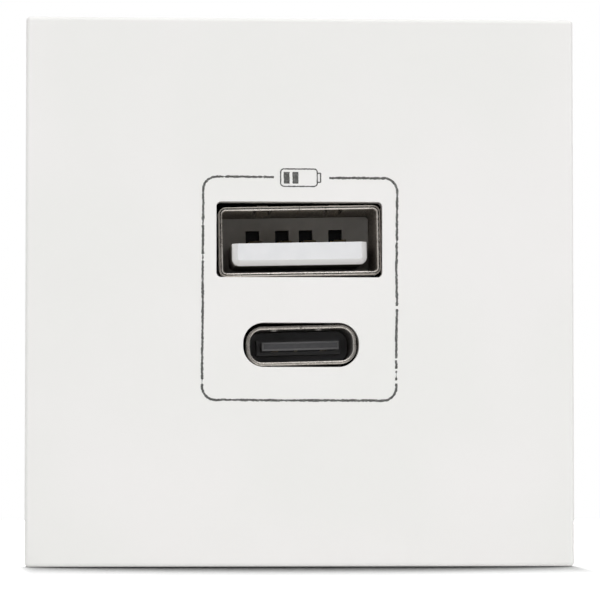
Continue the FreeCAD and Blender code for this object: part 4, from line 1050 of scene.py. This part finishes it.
def make_world():
    """White where the camera or a reflection looks, softer as a light."""
    world = bpy.data.worlds.new("studio")
    bpy.context.scene.world = world
    world.use_nodes = True
    tree = world.node_tree
    tree.nodes.clear()
    rays = tree.nodes.new("ShaderNodeLightPath")
    seen = tree.nodes.new("ShaderNodeMath")
    seen.operation = "ADD"
    tree.links.new(rays.outputs["Is Camera Ray"], seen.inputs[0])
    tree.links.new(rays.outputs["Is Glossy Ray"], seen.inputs[1])
    every = tree.nodes.new("ShaderNodeMath")
    every.operation = "ADD"
    every.use_clamp = True
    tree.links.new(seen.outputs[0], every.inputs[0])
    tree.links.new(rays.outputs["Is Transmission Ray"], every.inputs[1])
    strength = tree.nodes.new("ShaderNodeMapRange")
    strength.inputs["To Min"].default_value = fill_strength
    strength.inputs["To Max"].default_value = 1.0
    tree.links.new(every.outputs[0], strength.inputs["Value"])
    background = tree.nodes.new("ShaderNodeBackground")
    background.inputs["Color"].default_value = (1.0, 1.0, 1.0, 1.0)
    tree.links.new(strength.outputs[0], background.inputs["Strength"])
    output = tree.nodes.new("ShaderNodeOutputWorld")
    tree.links.new(background.outputs[0], output.inputs[0])


make_world()
print("fill light", fill_strength, "of white")

# %% [markdown]
# Five large lamps stand round the object, as in a product studio: one above and before it, one on each
# side, one overhead that lights the top edge and the floor, and a weak one behind that shows the housing.
# They are large against the object, so shadows are soft.

# %% Lamps
def lamp(name, place, aim, size, watts):
    """Rectangular area lamp that points from place to aim."""
    light = bpy.data.lights.new(name, "AREA")
    light.shape = "RECTANGLE"
    light.size, light.size_y = size
    light.energy = watts
    item = bpy.data.objects.new(name, light)
    item.location = place
    item.rotation_mode = "QUATERNION"
    item.rotation_quaternion = (Vector(aim) - Vector(place)).to_track_quat("-Z", "Y")
    bpy.context.scene.collection.objects.link(item)


plate_middle = (0.0, front_y, 0.0)
lamp("lamp_front", (-0.05, -0.70, 0.75), plate_middle, (0.8, 0.4), 2.8)
lamp("lamp_left", (-0.55, -0.75, 0.20), plate_middle, (0.4, 0.7), 2.08)
lamp("lamp_right", (0.75, -0.55, 0.20), plate_middle, (0.4, 0.7), 2.45)
lamp("lamp_top", (0.0, 0.05, 0.90), plate_middle, (0.9, 0.6), 4.15)
lamp("lamp_back", (0.3, 0.90, 0.45), plate_middle, (0.6, 0.5), 1.5)

# %% [markdown]
# The photograph was taken from a little left of the middle and a little below it, about 30 cm away. The
# camera looks at a point just below the plate's middle, because the plate sits slightly high in the
# picture. The lens follows from how many pixels of the picture a millimetre of the plate fills.

# %% Camera
camera_distance = 0.300
camera_left = 0.0170
camera_below = 0.0151
aim_left = 0.00006
aim_below = 0.0005
picture_width = 600.0
pixels_per_mm = 12.21
sensor_width = 36.0
nearest_seen = 0.005
furthest_seen = 50.0

camera_data = bpy.data.cameras.new("camera")
camera = bpy.data.objects.new("camera", camera_data)
bpy.context.scene.collection.objects.link(camera)
bpy.context.scene.camera = camera
camera.location = (-camera_left, front_y - camera_distance, -camera_below)
aim = Vector((-aim_left, front_y, -aim_below))
camera.rotation_mode = "QUATERNION"
camera.rotation_quaternion = (aim - camera.location).to_track_quat("-Z", "Y")
reach = (aim - camera.location).length
camera_data.sensor_width = sensor_width
camera_data.lens = pixels_per_mm / mm * reach * sensor_width / picture_width
camera_data.clip_start = nearest_seen
camera_data.clip_end = furthest_seen
print("lens", round(camera_data.lens, 1), "mm at", round(reach, 4), "m")

# %% [markdown]
# Last come the view settings.

# %% Finish
bpy.context.scene.view_settings.view_transform = "Standard"
